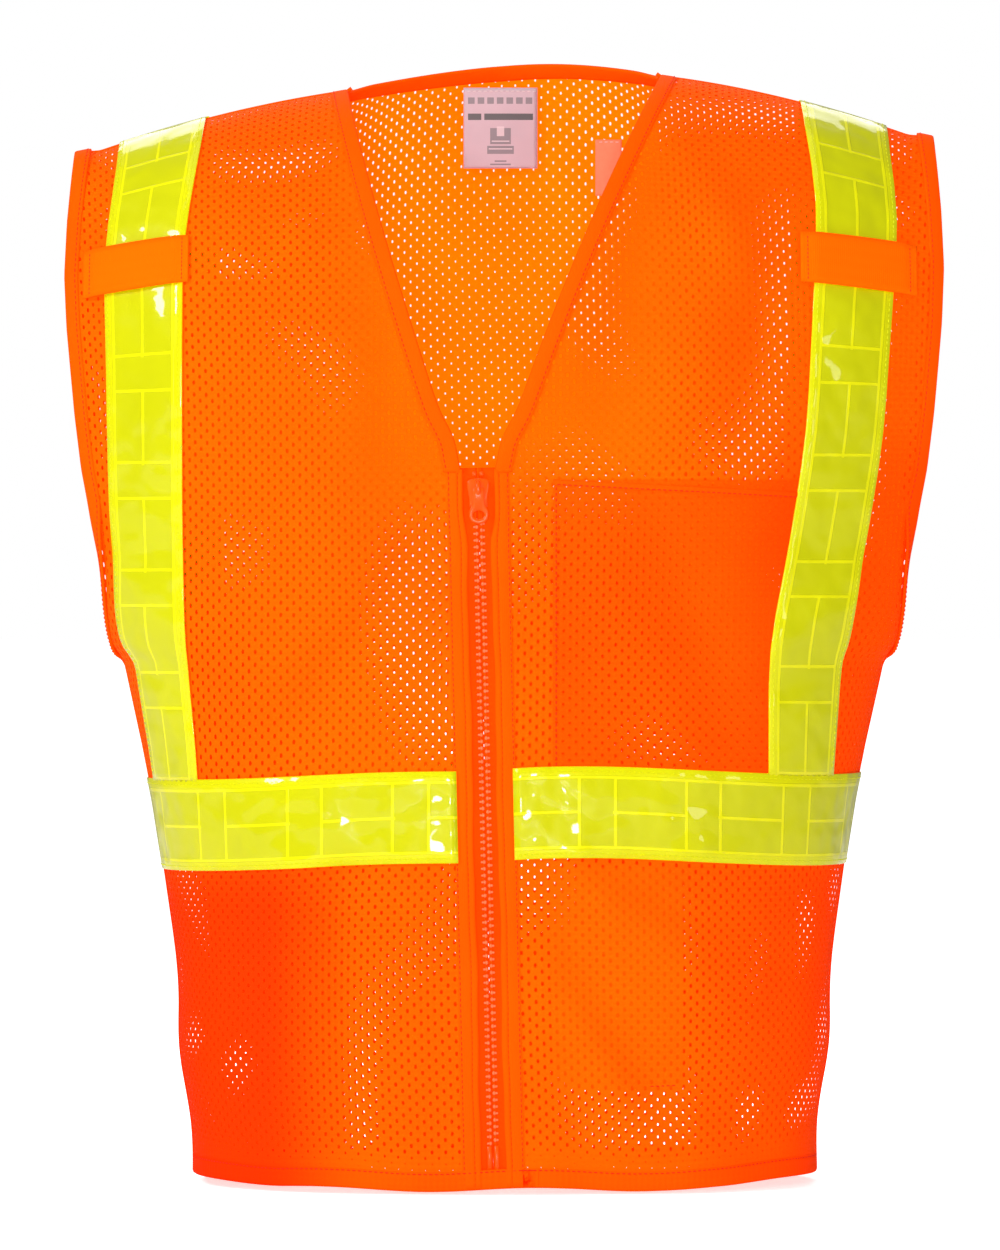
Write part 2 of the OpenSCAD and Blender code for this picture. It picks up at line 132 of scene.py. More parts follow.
def armhole_open(h):
    return np.sin(np.pi / 2 * np.clip((h - UNDERARM) / 90, 0, 1)) ** 0.6


def shell(face, angle, row):
    """Points on the smooth torso, for arrays of angles in degrees and rows."""
    a = np.radians(angle)
    reach = np.abs(np.sin(a)) ** (2 / POWER)
    h = row_height(face, row, reach * TIP_X)
    opened = armhole_open(h)
    closed_share = np.abs(np.cos(a)) ** (2 / POWER)
    open_share = 1 - (1 - ARM_SHARE) * reach ** 2.8
    share = closed_share * (1 - opened) + open_share * opened
    top = np.where(row <= 1, 1, np.cos((row - 1) * np.pi / 2))
    depth = FRONT_DEPTH if face == FRONT else BACK_DEPTH
    return np.stack([np.sign(a) * reach * half_width(h), face * depth * share * top, h], -1)


def row_of(q):
    """Row of a cloth height, which is counted along the cloth from the hem."""
    return np.where(q <= CHEST, q / CHEST, 1 + (q - CHEST) / ARC_TOP)


def cloth_q(row):
    return np.where(row <= 1, row * CHEST, CHEST + (row - 1) * ARC_TOP)


def table_value(table, i, j):
    """Bilinear reading of a table at fractional places i, j."""
    i = np.clip(i, 0, table.shape[0] - 1.000001)
    j = np.clip(j, 0, table.shape[1] - 1.000001)
    i0, j0 = i.astype(int), j.astype(int)
    u, v = i - i0, j - j0
    near = table[i0, j0] * (1 - v) + table[i0, j0 + 1] * v
    far = table[i0 + 1, j0] * (1 - v) + table[i0 + 1, j0 + 1] * v
    return near * (1 - u) + far * u


class Unrolled:
    """Lengths along the cloth: across a row from the middle, and up from the chest row."""

    ROWS = 201
    SHARES = 1201

    def __init__(self, face):
        angles = np.linspace(0, 90, 721)
        rows = np.linspace(0, 2, self.ROWS)
        a, r = np.meshgrid(angles, rows)
        steps = np.linalg.norm(np.diff(shell(face, a, r), axis=1), axis=2)
        self.arc = np.concatenate([np.zeros((self.ROWS, 1)), np.cumsum(steps, 1)], 1)
        self.full = self.arc[:, -1]
        share = np.linspace(0, 1, self.SHARES)
        self.back = np.array([np.interp(share * row[-1], row, angles) for row in self.arc])
        climb_rows = np.linspace(1, 2, 121)
        a, r = np.meshgrid(np.linspace(0, 90, 181), climb_rows, indexing="ij")
        steps = np.linalg.norm(np.diff(shell(face, a, r), axis=1), axis=2)
        climb = np.concatenate([np.zeros((181, 1)), np.cumsum(steps, 1)], 1)
        self.climb_full = climb[:, -1]
        part = np.linspace(0, 1, 241)
        self.climb_row = np.array([np.interp(part * line[-1], line, climb_rows) for line in climb])

    def angle(self, s, row):
        """Angle round the section for a distance from the middle along a row."""
        k = np.clip(row, 0, 2) / 2 * (self.ROWS - 1)
        full = np.interp(k, np.arange(self.ROWS), self.full)
        share = np.minimum(np.abs(s) / full, 1)
        return np.sign(s) * table_value(self.back, k, share * (self.SHARES - 1))

    def distance(self, angle, row):
        angle, row = np.broadcast_arrays(np.asarray(angle, float), np.asarray(row, float))
        k = np.clip(row, 0, 2) / 2 * (self.ROWS - 1)
        return np.sign(angle) * table_value(self.arc, k, np.abs(angle) / 90 * 720)

    def cloth_q(self, s, length):
        """The q of spots that lie a true cloth length above the hem."""
        q = np.minimum(length, CHEST + ARC_TOP)
        high = length > CHEST
        for _ in range(3):
            k = np.abs(self.angle(s[high], row_of(q[high]))) * 2
            full = np.interp(k, np.arange(181), self.climb_full)
            part = np.minimum((length[high] - CHEST) / full, 1)
            q[high] = cloth_q(table_value(self.climb_row, k, part * 240))
        return q


UNROLL = {FRONT: Unrolled(FRONT), BACK: Unrolled(BACK)}


def smoothstep(lo, hi, v):
    """Eased step from 0 at lo to 1 at hi; lo may be the larger of the two."""
    t = np.clip((v - lo) / (hi - lo), 0, 1)
    return t * t * (3 - 2 * t)


def zip_x(h):
    return ZIP_LOW_X + (ZIP_TOP_X - ZIP_LOW_X) * h / V_BOTTOM


# Creases: face, x and z of both ends, width, height
CREASES = (
    (FRONT, -96, 590, -150, 470, 17, 5.0), (FRONT, -150, 500, -128, 330, 19, -4.5),
    (FRONT, -118, 560, -84, 400, 20, 4.5), (FRONT, -60, 500, -52, 380, 16, -3.0),
    (FRONT, -40, 395, -150, 270, 22, 5.0), (FRONT, -30, 370, -120, 250, 16, -4.5),
    (FRONT, -215, 345, -120, 262, 14, 4.0), (FRONT, -200, 300, -140, 240, 11, -3.0),
    (FRONT, 92, 590, 140, 500, 16, 4.5), (FRONT, 78, 560, 60, 420, 18, -4.5),
    (FRONT, 130, 560, 96, 420, 22, 5.0), (FRONT, 150, 520, 130, 410, 13, -3.5),
    (FRONT, 216, 350, 128, 275, 14, 4.5), (FRONT, 196, 310, 110, 262, 12, -3.5),
    (FRONT, 36, 380, 100, 250, 18, 4.0), (FRONT, 80, 385, 130, 250, 16, -3.5),
    (FRONT, -152, 172, -150, 4, 15, -6.0), (FRONT, -120, 176, -122, 4, 15, 6.0),
    (FRONT, -88, 174, -84, 4, 15, -6.5), (FRONT, -52, 172, -48, 10, 14, 4.5),
    (FRONT, 14, 172, 96, 26, 15, -5.5), (FRONT, 24, 182, 138, 92, 17, 5.5),
    (FRONT, 60, 178, 158, 128, 14, -5.0), (FRONT, 40, 96, 104, 4, 15, 5.5),
    (FRONT, 100, 70, 148, 10, 14, -5.0), (FRONT, 158, 176, 152, 60, 12, -5.5),
    (FRONT, 186, 172, 168, 30, 10, 4.0), (FRONT, -186, 172, -165, 30, 10, 4.0),
    (BACK, -120, 570, -60, 430, 22, 3.5), (BACK, 120, 570, 60, 430, 22, 3.5),
    (BACK, -60, 590, -20, 480, 16, -2.4), (BACK, 60, 590, 20, 480, 16, -2.4),
    (BACK, -210, 340, -100, 250, 16, 4.4), (BACK, 210, 340, 100, 250, 16, 4.4),
    (BACK, -110, 175, -104, 5, 17, 6.0), (BACK, -50, 178, -46, 5, 19, -6.0),
    (BACK, 8, 178, 10, 5, 18, 5.6), (BACK, 62, 178, 60, 5, 18, -6.0), (BACK, 118, 178, 112, 5, 16, 5.6),
)
WAVES = (  # wave vector per metre, phase and height of the slow, all-over unevenness
    (9.0, 4.0, 5.0, 0.3, 0.9), (-7.0, 6.0, 8.0, 1.9, 0.8), (16.0, -5.0, 3.0, 4.1, 0.5),
    (4.0, 9.0, -14.0, 2.6, 0.6), (-20.0, 3.0, 12.0, 5.5, 0.35), (12.0, 8.0, 22.0, 0.9, 0.3),
)


def crease_height(face, p):
    """How far the cloth stands proud of the smooth torso at points p."""
    x, y, z = p[..., 0], p[..., 1], p[..., 2]
    d = np.zeros_like(x)
    for f, x0, z0, x1, z1, width, height in CREASES:
        if f != face:
            continue
        dx, dz = x1 - x0, z1 - z0
        t = np.clip(((x - x0) * dx + (z - z0) * dz) / (dx * dx + dz * dz), 0, 1)
        far = np.hypot(x - x0 - t * dx, z - z0 - t * dz)
        d += height * np.exp(-(far / width) ** 2) * (0.55 + 0.45 * np.sin(np.pi * t))
    d *= smoothstep(2, 34, np.abs(y))
    for kx, ky, kz, phase, height in WAVES:
        d += height * np.sin(2 * np.pi * (kx * x + ky * y + kz * z) * MM * 0.5 + phase)
    around = np.arctan2(x, -y)
    loose = 1 - smoothstep(60, 300, z)
    d += loose * (2.4 * np.sin(9 * around + 1.1 + z / 140) + 1.2 * np.sin(17 * around + z / 90))
    if face == FRONT:
        d *= smoothstep(17, 62, np.abs(x - zip_x(np.minimum(z, V_BOTTOM))))
    return d


def settle(p):
    """The vest hangs a little higher on the wearer's left, and its hem is not quite level."""
    x, z = p[..., 0], p[..., 2]
    wide, y = np.abs(x), p[..., 1]
    tilt = 4.6 * np.tanh(x / 60) * smoothstep(410, 600, z)
    nape = 8.0 * smoothstep(5, 40, y) * smoothstep(540, 612, z) * np.maximum(0, 1 - (wide / 96) ** 2)
    tip = 4.5 * smoothstep(226, 243, wide) * smoothstep(520, 585, z)
    corner = smoothstep(120, 172, wide)
    hem = (1 - smoothstep(0, 130, z)) * (4.0 * corner + 1.2 * np.sin(x / 19 + 0.7) + 1.2) * smoothstep(60, -20, y)
    waist = np.exp(-((z - 205) / 75) ** 2) * (1.7 * np.tanh(x / 20) - 6.5 * smoothstep(40, 190, wide))
    step = 5.0 * smoothstep(291, 304, z) * (1 - smoothstep(306, 356, z)) * smoothstep(170, 214, wide)
    flare = smoothstep(150, 60, z) * smoothstep(100, 165, wide) * (3.5 + 1.5 * np.sin(z / 17 + x / 60))
    p[..., 0] = x + np.sign(x) * (step + flare)
    p[..., 2] = np.maximum(z + tilt + nape + tip + hem + waist, 0)
    return p


def outward(face, angle, row):
    step_a, step_r = 0.5, 0.006
    a0, a1 = np.clip(angle - step_a, -89.9, 89.9), np.clip(angle + step_a, -89.9, 89.9)
    r0, r1 = np.clip(row - step_r, 0, 2), np.clip(row + step_r, 0, 2)
    da = shell(face, a1, row) - shell(face, a0, row)
    dr = shell(face, angle, r1) - shell(face, angle, r0)
    n = np.cross(da, dr) * (1 if face == FRONT else -1)
    return n / np.linalg.norm(n, axis=-1, keepdims=True)


def place(face, s, q, off=0.0):
    """Points in space for cloth coordinates: s across from the middle, q up from the hem."""
    s, q = np.broadcast_arrays(np.asarray(s, float), np.asarray(q, float))
    shape = s.shape
    s, q = s.ravel(), q.ravel()
    row = row_of(q)
    angle = UNROLL[face].angle(s, row)
    p = shell(face, angle, row)
    n = outward(face, angle, row)
    out = n * np.broadcast_to(np.asarray(off, float), shape).ravel()[:, None]
    out[:, 1] += n[:, 1] * crease_height(face, p)
    p = settle(p + out)
    return p.reshape(shape + (3,))


def s_of(face, x, row):
    """Cloth distance from the middle for sideways places on rows."""
    x, row = np.broadcast_arrays(np.asarray(x, float), np.asarray(row, float))
    h = row_height(face, row, np.abs(x))
    return UNROLL[face].distance(angle_at(x, h), row).reshape(x.shape)


def s_side(face, row):
    return UNROLL[face].distance(np.full(np.shape(row), 90.0), row)


# ---------------------------------------------------------------- edge curves
def neck_part(h):
    return np.clip((h - V_BOTTOM) / (NECK_H - V_BOTTOM), 0, 1)


def neck_x(side, h):
    t = neck_part(h)
    curve = 2.6 * np.exp(-((h - V_BOTTOM - 16) / 12) ** 2)
    return ZIP_TOP_X * (1 - t ** 2) + side * (10 + (NECK_HALF - 10) * t - curve)


def tape_edge_x(side, h):
    return side * smooth_lookup(h, TAPE_EDGE[side], 20)


def free_edge_s(side, q, cover):
    """Free front edge of the mesh, which runs cover under the facing or the neck binding."""
    row = row_of(q)
    h = row_height(FRONT, row, 80.0)
    by_zip = side * zip_x(np.minimum(h, V_BOTTOM + 30)) + STRIP_HALF
    by_neck = np.where(h > V_BOTTOM - 4, side * neck_x(side, h) + BINDING_W, -1e3)
    return s_of(FRONT, side * (np.maximum(by_zip, by_neck) - cover), row)


def back_neck_row(x, drop=0.0):
    """Row of the back neckline at sideways places, moved down the cloth by drop."""
    edge = NECK_H + 5.0 * (1 - (x / NECK_HALF) ** 2)
    row = np.where(np.abs(x) >= NECK_HALF, 2.0, row_at(BACK, edge, x))
    return np.minimum(row, 2.0) - drop / 234.0


# ---------------------------------------------------------------- mesh making
def new_object(name, verts, faces, material, smooth=True, uvs=None):
    """A mesh object from points in millimetres. uvs is one pair per vertex, in millimetres."""
    mesh = bpy.data.meshes.new(name)
    mesh.from_pydata((np.asarray(verts) * MM).tolist(), [], [list(map(int, f)) for f in faces])
    if uvs is not None:
        layer = mesh.uv_layers.new(name="cloth")
        index = np.empty(len(mesh.loops), int)
        mesh.loops.foreach_get("vertex_index", index)
        layer.data.foreach_set("uv", (np.asarray(uvs)[index] * MM).astype(np.float32).ravel())
    mesh.materials.append(material)
    mesh.validate()
    if smooth:
        mesh.polygons.foreach_set("use_smooth", [True] * len(mesh.polygons))
    obj = bpy.data.objects.new(name, mesh)
    bpy.context.scene.collection.objects.link(obj)
    return obj


def grid_faces(rows, cols, closed=False):
    wrap = cols if closed else cols - 1
    return [(j * cols + i, j * cols + (i + 1) % cols, (j + 1) * cols + (i + 1) % cols, (j + 1) * cols + i)
            for j in range(rows - 1) for i in range(wrap)]


def grain(s, q, phase):
    """Slow drift of the knit's columns and rows, as cloth is never perfectly straight."""
    ds = 1.3 * np.sin(q / 61 + phase) + 0.9 * np.sin((s + q) / 47 + 2 * phase) + 0.7 * np.sin((2 * s - q) / 83)
    dq = 1.5 * np.sin(s / 53 + 3 * phase) + 1.1 * np.sin((s - 1.4 * q) / 67 + phase) + 0.5 * np.sin(s / 29 + phase)
    return ds, dq


def rim_walls(rows, cols):
    """Faces that join the rim of a grid to the rim of the grid behind it."""
    n = rows * cols
    rim = ([j * cols for j in range(rows - 1, -1, -1)] + list(range(1, cols))
           + [j * cols + cols - 1 for j in range(1, rows)]
           + [(rows - 1) * cols + i for i in range(cols - 2, 0, -1)])
    ahead = rim[1:] + rim[:1]
    return [(b, a, a + n, b + n) for a, b in zip(rim, ahead)]


def two_sided(top, low, turned=False):
    """Vertices and faces of a thin solid between two matching grids of points."""
    rows, cols = top.shape[:2]
    n = rows * cols
    faces = grid_faces(rows, cols)
    faces = faces + [tuple(k + n for k in reversed(f)) for f in faces] + rim_walls(rows, cols)
    if turned:
        faces = [tuple(reversed(f)) for f in faces]
    return np.concatenate([top.reshape(-1, 3), low.reshape(-1, 3)]), faces


def knit(face, s_low, s_high, q_low, q_high, top_row=None, off=0.0, phase=0.0, pitch=1.0, hole=None):
    """A sheet of mesh cloth with real holes between edge curves s_low(q) and s_high(q)."""
    w = 1.2
    cell = [(-w, 3.4), (w, 3.4), (HOLE_PITCH_X - w, 0), (w, -3.4), (-w, -3.4), (w - HOLE_PITCH_X, 0)]
    hx, hz = HOLE_HALF_X, HOLE_HALF_Z
    rim = [(-0.58 * hx, hz), (0.58 * hx, hz), (hx, 0), (0.58 * hx, -hz), (-0.58 * hx, -hz), (-hx, 0)]
    qs = np.linspace(q_low, q_high, 120)
    low_s, high_s = s_low(qs), s_high(qs)
    cols = np.arange(math.floor(low_s.min() / HOLE_PITCH_X) - 4, math.ceil(high_s.max() / HOLE_PITCH_X) + 5)
    rows = np.arange(math.floor(q_low / HOLE_PITCH_Z) - 4, math.ceil(q_high / HOLE_PITCH_Z) + 5)
    ci, rj = np.meshgrid(cols, rows)
    centre = np.stack([ci * HOLE_PITCH_X, (rj + 0.5 * (ci % 2)) * HOLE_PITCH_Z], -1).reshape(-1, 2)
    outer = centre[:, None, :] + np.array(cell)[None]
    scale = 1.0 if hole is None else hole(centre[:, 0], centre[:, 1])[:, None, None]
    inner = centre[:, None, :] + np.array(rim)[None] * scale
    points = np.concatenate([outer.reshape(-1, 2), inner.reshape(-1, 2)])
    keys = np.round(points * 10).astype(np.int64)
    _, first, index = np.unique(keys, axis=0, return_index=True, return_inverse=True)
    index = index.ravel()
    flat = points[first] * pitch
    drift_s, drift_q = grain(flat[:, 0], flat[:, 1], phase)
    flat[:, 0] += drift_s
    flat[:, 1] = UNROLL[face].cloth_q(flat[:, 0], flat[:, 1] + drift_q)
    n = len(centre)
    out_id, in_id = index[:6 * n].reshape(n, 6), index[6 * n:].reshape(n, 6)
    quads = np.concatenate([
        np.stack([out_id[:, k], in_id[:, k], in_id[:, (k + 1) % 6], out_id[:, (k + 1) % 6]], -1)
        for k in range(6)])
    q = np.clip(flat[:, 1], q_low, q_high)
    s = np.clip(flat[:, 0], np.interp(q, qs, low_s), np.interp(q, qs, high_s))
    if top_row is not None:
        row = row_of(q)
        x = shell(face, UNROLL[face].angle(s, row), row)[:, 0]
        q = np.minimum(q, cloth_q(top_row(x)))
    d1 = np.stack([s, q], -1)[quads[:, 2]] - np.stack([s, q], -1)[quads[:, 0]]
    d2 = np.stack([s, q], -1)[quads[:, 3]] - np.stack([s, q], -1)[quads[:, 1]]
    area = np.abs(d1[:, 0] * d2[:, 1] - d1[:, 1] * d2[:, 0]) / 2
    quads = quads[area > 0.02]
    used, index = np.unique(quads, return_inverse=True)
    quads = index.reshape(quads.shape)
    s, q = s[used], q[used]
    verts = place(face, s, q, off)
    return verts, quads, np.stack([s, q], -1)


def strip(face, s_low, s_high, q_low, q_high, off, thick, cols, rows, soft=0.45):
    """A closed strip with thickness and softened long edges, between two edge curves."""
    q = np.linspace(q_low, q_high, rows)[:, None] * np.ones((1, cols))
    lo, hi = s_low(q[:, 0])[:, None], s_high(q[:, 0])[:, None]
    edge = soft / np.maximum(np.abs(hi - lo), 1)
    u = np.concatenate([[0.0], [1.0], np.linspace(0, 1, cols - 2)[1:-1], [2.0], [3.0]])[None, :] * np.ones((rows, 1))
    inner_u = np.linspace(0, 1, cols - 2)[1:-1]
    u[:, 0], u[:, 1] = 0, edge[:, 0]
    u[:, 2:-2] = inner_u
    u[:, -2], u[:, -1] = 1 - edge[:, 0], 1
    s = lo + (hi - lo) * u
    lift = np.full_like(s, thick)
    lift[:, 0] = lift[:, -1] = thick * 0.45
    top = place(face, s, q, off + lift)
    low = place(face, s, q, off)
    n = rows * cols
    faces = grid_faces(rows, cols)
    under = [tuple(v + n for v in reversed(f)) for f in faces]
    walls = rim_walls(rows, cols)
    middle = top[:, cols // 2]
    run = np.concatenate([[0], np.cumsum(np.linalg.norm(np.diff(middle, axis=0), axis=1))])
    uvs = np.stack([s - lo, run[:, None] * np.ones((1, cols))], -1).reshape(-1, 2)
    verts = np.concatenate([top.reshape(-1, 3), low.reshape(-1, 3)])
    return verts, faces + under + walls, np.concatenate([uvs, uvs])


def path_frame(face, s, q, inward):
    """Edge points, inward directions and outward normals along a path on the cloth."""
    eps = 1.5
    ds, dq = np.gradient(s), np.gradient(q)
    length = np.hypot(ds, dq)
    ns, nq = inward * -dq / length, inward * ds / length
    p = place(face, s, q)
    q_in = np.clip(q + nq * eps, 0, CHEST + ARC_TOP)
    across = place(face, s + ns * eps, q_in) - p
    along = np.gradient(p, axis=0)
    along /= np.linalg.norm(along, axis=1, keepdims=True)
    across -= (across * along).sum(1, keepdims=True) * along
    across /= np.linalg.norm(across, axis=1, keepdims=True)
    normal = outward(face, UNROLL[face].angle(s, row_of(q)), row_of(q))
    normal -= (normal * along).sum(1, keepdims=True) * along
    normal -= (normal * across).sum(1, keepdims=True) * across
    normal /= np.linalg.norm(normal, axis=1, keepdims=True)
    return p, across, normal


def binding_profile(width, thick):
    half = thick / 2
    return [(0.0, 0.0), (0.25, half * 0.75), (1.1, half), (width * 0.5, half * 0.92), (width - 1.6, half * 0.82),
            (width - 0.9, half * 0.62), (width, half * 0.5), (width, -half * 0.5), (width - 1.2, -half * 0.8),
            (width * 0.5, -half * 0.9), (1.1, -half), (0.25, -half * 0.75)]


def loft(p, across, normal, profile, closed=False):
    """A folded strip swept along an edge. The first profile point lies on the edge."""
    ring = len(profile)
    verts = np.stack([p + u * across + v * normal for u, v in profile], 1).reshape(-1, 3)
    count = len(p)
    run = np.concatenate([[0], np.cumsum(np.linalg.norm(np.diff(p, axis=0), axis=1))])
    faces = []
    last = count if closed else count - 1
    for j in range(last):
        k = (j + 1) % count
        faces += [(j * ring + i, k * ring + i, k * ring + (i + 1) % ring, j * ring + (i + 1) % ring) for i in range(ring)]
    if not closed:
        faces += [tuple(range(ring)), tuple((count - 1) * ring + i for i in reversed(range(ring)))]
    uvs = np.stack([np.broadcast_to([u for u, v in profile], (count, ring)),
                    np.broadcast_to(run[:, None], (count, ring))], -1).reshape(-1, 2)
    verts[:, 2] = np.maximum(verts[:, 2], 0)
    return verts, faces, uvs


def merge(*parts):
    verts, faces, uvs, base = [], [], [], 0
    for v, f, uv in parts:
        verts.append(np.asarray(v))
        faces += [tuple(int(i) + base for i in face) for face in f]
        uvs.append(np.asarray(uv))
        base += len(v)
    return np.concatenate(verts), faces, np.concatenate(uvs)


def stitches(points, normals, pitch=3.1, length=2.2, width=0.55, lift=0.1):
    """Thread stitches laid along a polyline: small pointed lozenges, one per stitch."""
    run = np.concatenate([[0], np.cumsum(np.linalg.norm(np.diff(points, axis=0), axis=1))])
    mids = np.arange(pitch, run[-1] - pitch / 2, pitch)
    at = np.stack([np.interp(mids, run, points[:, k]) for k in range(3)], 1)
    ahead = np.stack([np.interp(mids + 0.5, run, points[:, k]) for k in range(3)], 1)
    n = np.stack([np.interp(mids, run, normals[:, k]) for k in range(3)], 1)
    n /= np.linalg.norm(n, axis=1, keepdims=True)
    t = ahead - at
    t /= np.linalg.norm(t, axis=1, keepdims=True)
    b = np.cross(n, t)
    at = at + n * lift
    ring = [at + t * u * length + b * v * width + n * w * width for u, v, w in (
        (-0.5, 0, -0.2), (-0.25, 0.45, 0), (-0.25, 0, 0.5), (-0.25, -0.45, 0),
        (0.25, 0.45, 0), (0.25, 0, 0.5), (0.25, -0.45, 0), (0.5, 0, -0.2))]
    verts = np.stack(ring, 1).reshape(-1, 3)
    pattern = ((0, 2, 1), (0, 3, 2), (1, 2, 5, 4), (2, 3, 6, 5), (4, 5, 7), (5, 6, 7), (0, 1, 4, 7), (0, 7, 6, 3))
    faces = [tuple(8 * k + i for i in f) for k in range(len(mids)) for f in pattern]
    return verts, faces, np.zeros((len(verts), 2))


def stitch_path(face, s, q, off, **kw):
    s, q = np.asarray(s, float), np.asarray(q, float)
    n = outward(face, UNROLL[face].angle(s, row_of(q)), row_of(q))
    return stitches(place(face, s, q, off), n, **kw)


# ---------------------------------------------------------------- materials
def node_material(name):
    material = bpy.data.materials.new(name)
    material.use_nodes = True
    tree = material.node_tree
    shader = tree.nodes["Principled BSDF"]
    return material, tree, shader


def add(tree, kind, **values):
    node = tree.nodes.new(kind)
    for key, value in values.items():
        if hasattr(node, key):
            setattr(node, key, value)
        else:
            node.inputs[key.replace("_", " ")].default_value = value
    return node


def math_node(tree, operation, a, b=None, clamp=False):
    node = tree.nodes.new("ShaderNodeMath")
    node.operation = operation
    node.use_clamp = clamp
    for k, v in enumerate((a, b)):
        if v is None:
            continue
        if isinstance(v, (int, float)):
            node.inputs[k].default_value = v
        else:
            tree.links.new(v, node.inputs[k])
    return node.outputs[0]


def mix_color(tree, factor, a, b):
    node = tree.nodes.new("ShaderNodeMix")
    node.data_type = "RGBA"
    for socket, value in ((node.inputs[0], factor), (node.inputs[6], a), (node.inputs[7], b)):
        if isinstance(value, (int, float)):
            socket.default_value = value
        elif isinstance(value, tuple):
            socket.default_value = value + (1,)
        else:
            tree.links.new(value, socket)
    return node.outputs[2]


def noise(tree, scale, detail=2.0, coords=None, roughness=0.5):
    node = add(tree, "ShaderNodeTexNoise", Scale=scale, Detail=detail, Roughness=roughness)
    if coords is None:
        coords = add(tree, "ShaderNodeTexCoord").outputs["Object"]
    tree.links.new(coords, node.inputs["Vector"])
    return node.outputs["Fac"]


def bump(tree, height, strength, distance, shader, previous=None):
    node = add(tree, "ShaderNodeBump", Strength=strength, Distance=distance)
    tree.links.new(height, node.inputs["Height"])
    if previous is not None:
        tree.links.new(previous, node.inputs["Normal"])
    if shader is not None:
        tree.links.new(node.outputs[0], shader.inputs["Normal"])
    return node.outputs[0]


def uv_parts(tree):
    uv = add(tree, "ShaderNodeUVMap", uv_map="cloth")
    split = tree.nodes.new("ShaderNodeSeparateXYZ")
    tree.links.new(uv.outputs[0], split.inputs[0])
    return split.outputs[0], split.outputs[1]


def waves(tree, value, period):
    """A sine between 0 and 1 along a coordinate in metres."""
    turn = math_node(tree, "MULTIPLY", value, 2 * math.pi / (period * MM))
    return math_node(tree, "ADD", math_node(tree, "MULTIPLY", math_node(tree, "SINE", turn), 0.5), 0.5)


def ramp(tree, value, low, high):
    """0 below low and 1 above high, eased between; works downwards when low is above high."""
    t = math_node(tree, "DIVIDE", math_node(tree, "SUBTRACT", value, low), high - low, clamp=True)
    steep = math_node(tree, "SUBTRACT", 3.0, math_node(tree, "MULTIPLY", t, 2.0))
    return math_node(tree, "MULTIPLY", math_node(tree, "MULTIPLY", t, t), steep)


def position(tree):
    """x, y and z of the shaded spot before any joint moves, in metres."""
    split = add(tree, "ShaderNodeSeparateXYZ")
    tree.links.new(add(tree, "ShaderNodeTexCoord").outputs["Object"], split.inputs[0])
    return split.outputs


def painted_fold_shade(tree):
    """Painted shade: 1 where the loose cloth below the waist tape turns away to the sides, away from the lamps, more on
    the wearer's right, and weaker on the wearer's left side up to about the chest row.
    """
    x, _, z = position(tree)
    below = ramp(tree, z, 0.235, 0.150)
    right = math_node(tree, "MULTIPLY", ramp(tree, x, -0.070, -0.135), 0.95)
    left = math_node(tree, "MULTIPLY", ramp(tree, x, 0.095, 0.185), 0.60)
    below = math_node(tree, "MULTIPLY", below, math_node(tree, "ADD", right, left))
    beside = math_node(tree, "MULTIPLY", ramp(tree, x, 0.120, 0.175), ramp(tree, z, 0.440, 0.380))
    return math_node(tree, "MAXIMUM", below, math_node(tree, "MULTIPLY", beside, 0.42))


def cloth_material(name, base, deep, glow, rib_u, rib_v, rib_depth, roughness=0.85, front=True):
    """Dyed polyester: slow colour variation and fine ribs both ways. A constant glow is painted light standing in for
    the fluorescent dye. With front set, painted shade darkens loose cloth that turns from the lamps; without it, a
    painted light glows inside the neck opening.
    """
    material, tree, shader = node_material(name)
    u, v = uv_parts(tree)
    slow = noise(tree, 8.0, 3.0)
    slow = math_node(tree, "ADD", math_node(tree, "MULTIPLY", math_node(tree, "SUBTRACT", slow, 0.5), 3.0), 0.5,
                     clamp=True)
    fleck = noise(tree, 900.0, 2.0)
    ribs = math_node(tree, "ADD", math_node(tree, "MULTIPLY", waves(tree, u, rib_u), 0.4),
                     math_node(tree, "MULTIPLY", waves(tree, v, rib_v), 0.6))
    shade = math_node(tree, "ADD", math_node(tree, "MULTIPLY", slow, 0.65),
                      math_node(tree, "MULTIPLY", fleck, 0.35))
    color = mix_color(tree, shade, deep, base)
    color = mix_color(tree, math_node(tree, "MULTIPLY", ribs, 0.35), color, base)
    # Painted shade: the cloth turns deep red where it turns away from the lamps.
    if front:
        painted_shade_red = (1.0, deep[1] * 0.42, 0.0)
        color = mix_color(tree, painted_fold_shade(tree), color, painted_shade_red)
    tree.links.new(color, shader.inputs["Base Color"])
    shader.inputs["Roughness"].default_value = roughness
    shader.inputs["Specular IOR Level"].default_value = 0.02
    # Painted light: the cloth glows in its own colour, a constant emission standing in for the fluorescent dye.
    tree.links.new(color, shader.inputs["Emission Color"])
    if front:
        shader.inputs["Emission Strength"].default_value = glow
    else:
        # Painted light: inside the neck opening, seen from the front, the back glows as if lit by the lamps through the
        # V; elsewhere it has a faint constant glow.
        x, _, z = position(tree)
        view = add(tree, "ShaderNodeSeparateXYZ")
        tree.links.new(add(tree, "ShaderNodeNewGeometry").outputs["Incoming"], view.inputs[0])
        painted_neck_light = math_node(tree, "MULTIPLY", ramp(tree, z, 0.350, 0.430),
                            ramp(tree, math_node(tree, "ABSOLUTE", x), 0.115, 0.060))
        painted_neck_light = math_node(tree, "MULTIPLY", painted_neck_light, ramp(tree, view.outputs["Y"], 0.1, -0.4))
        tree.links.new(math_node(tree, "ADD", math_node(tree, "MULTIPLY", painted_neck_light, glow), 0.10),
                       shader.inputs["Emission Strength"])
    height = math_node(tree, "ADD", ribs, math_node(tree, "MULTIPLY", fleck, 0.5))
    bump(tree, height, 0.6, rib_depth * MM, shader)
    return material


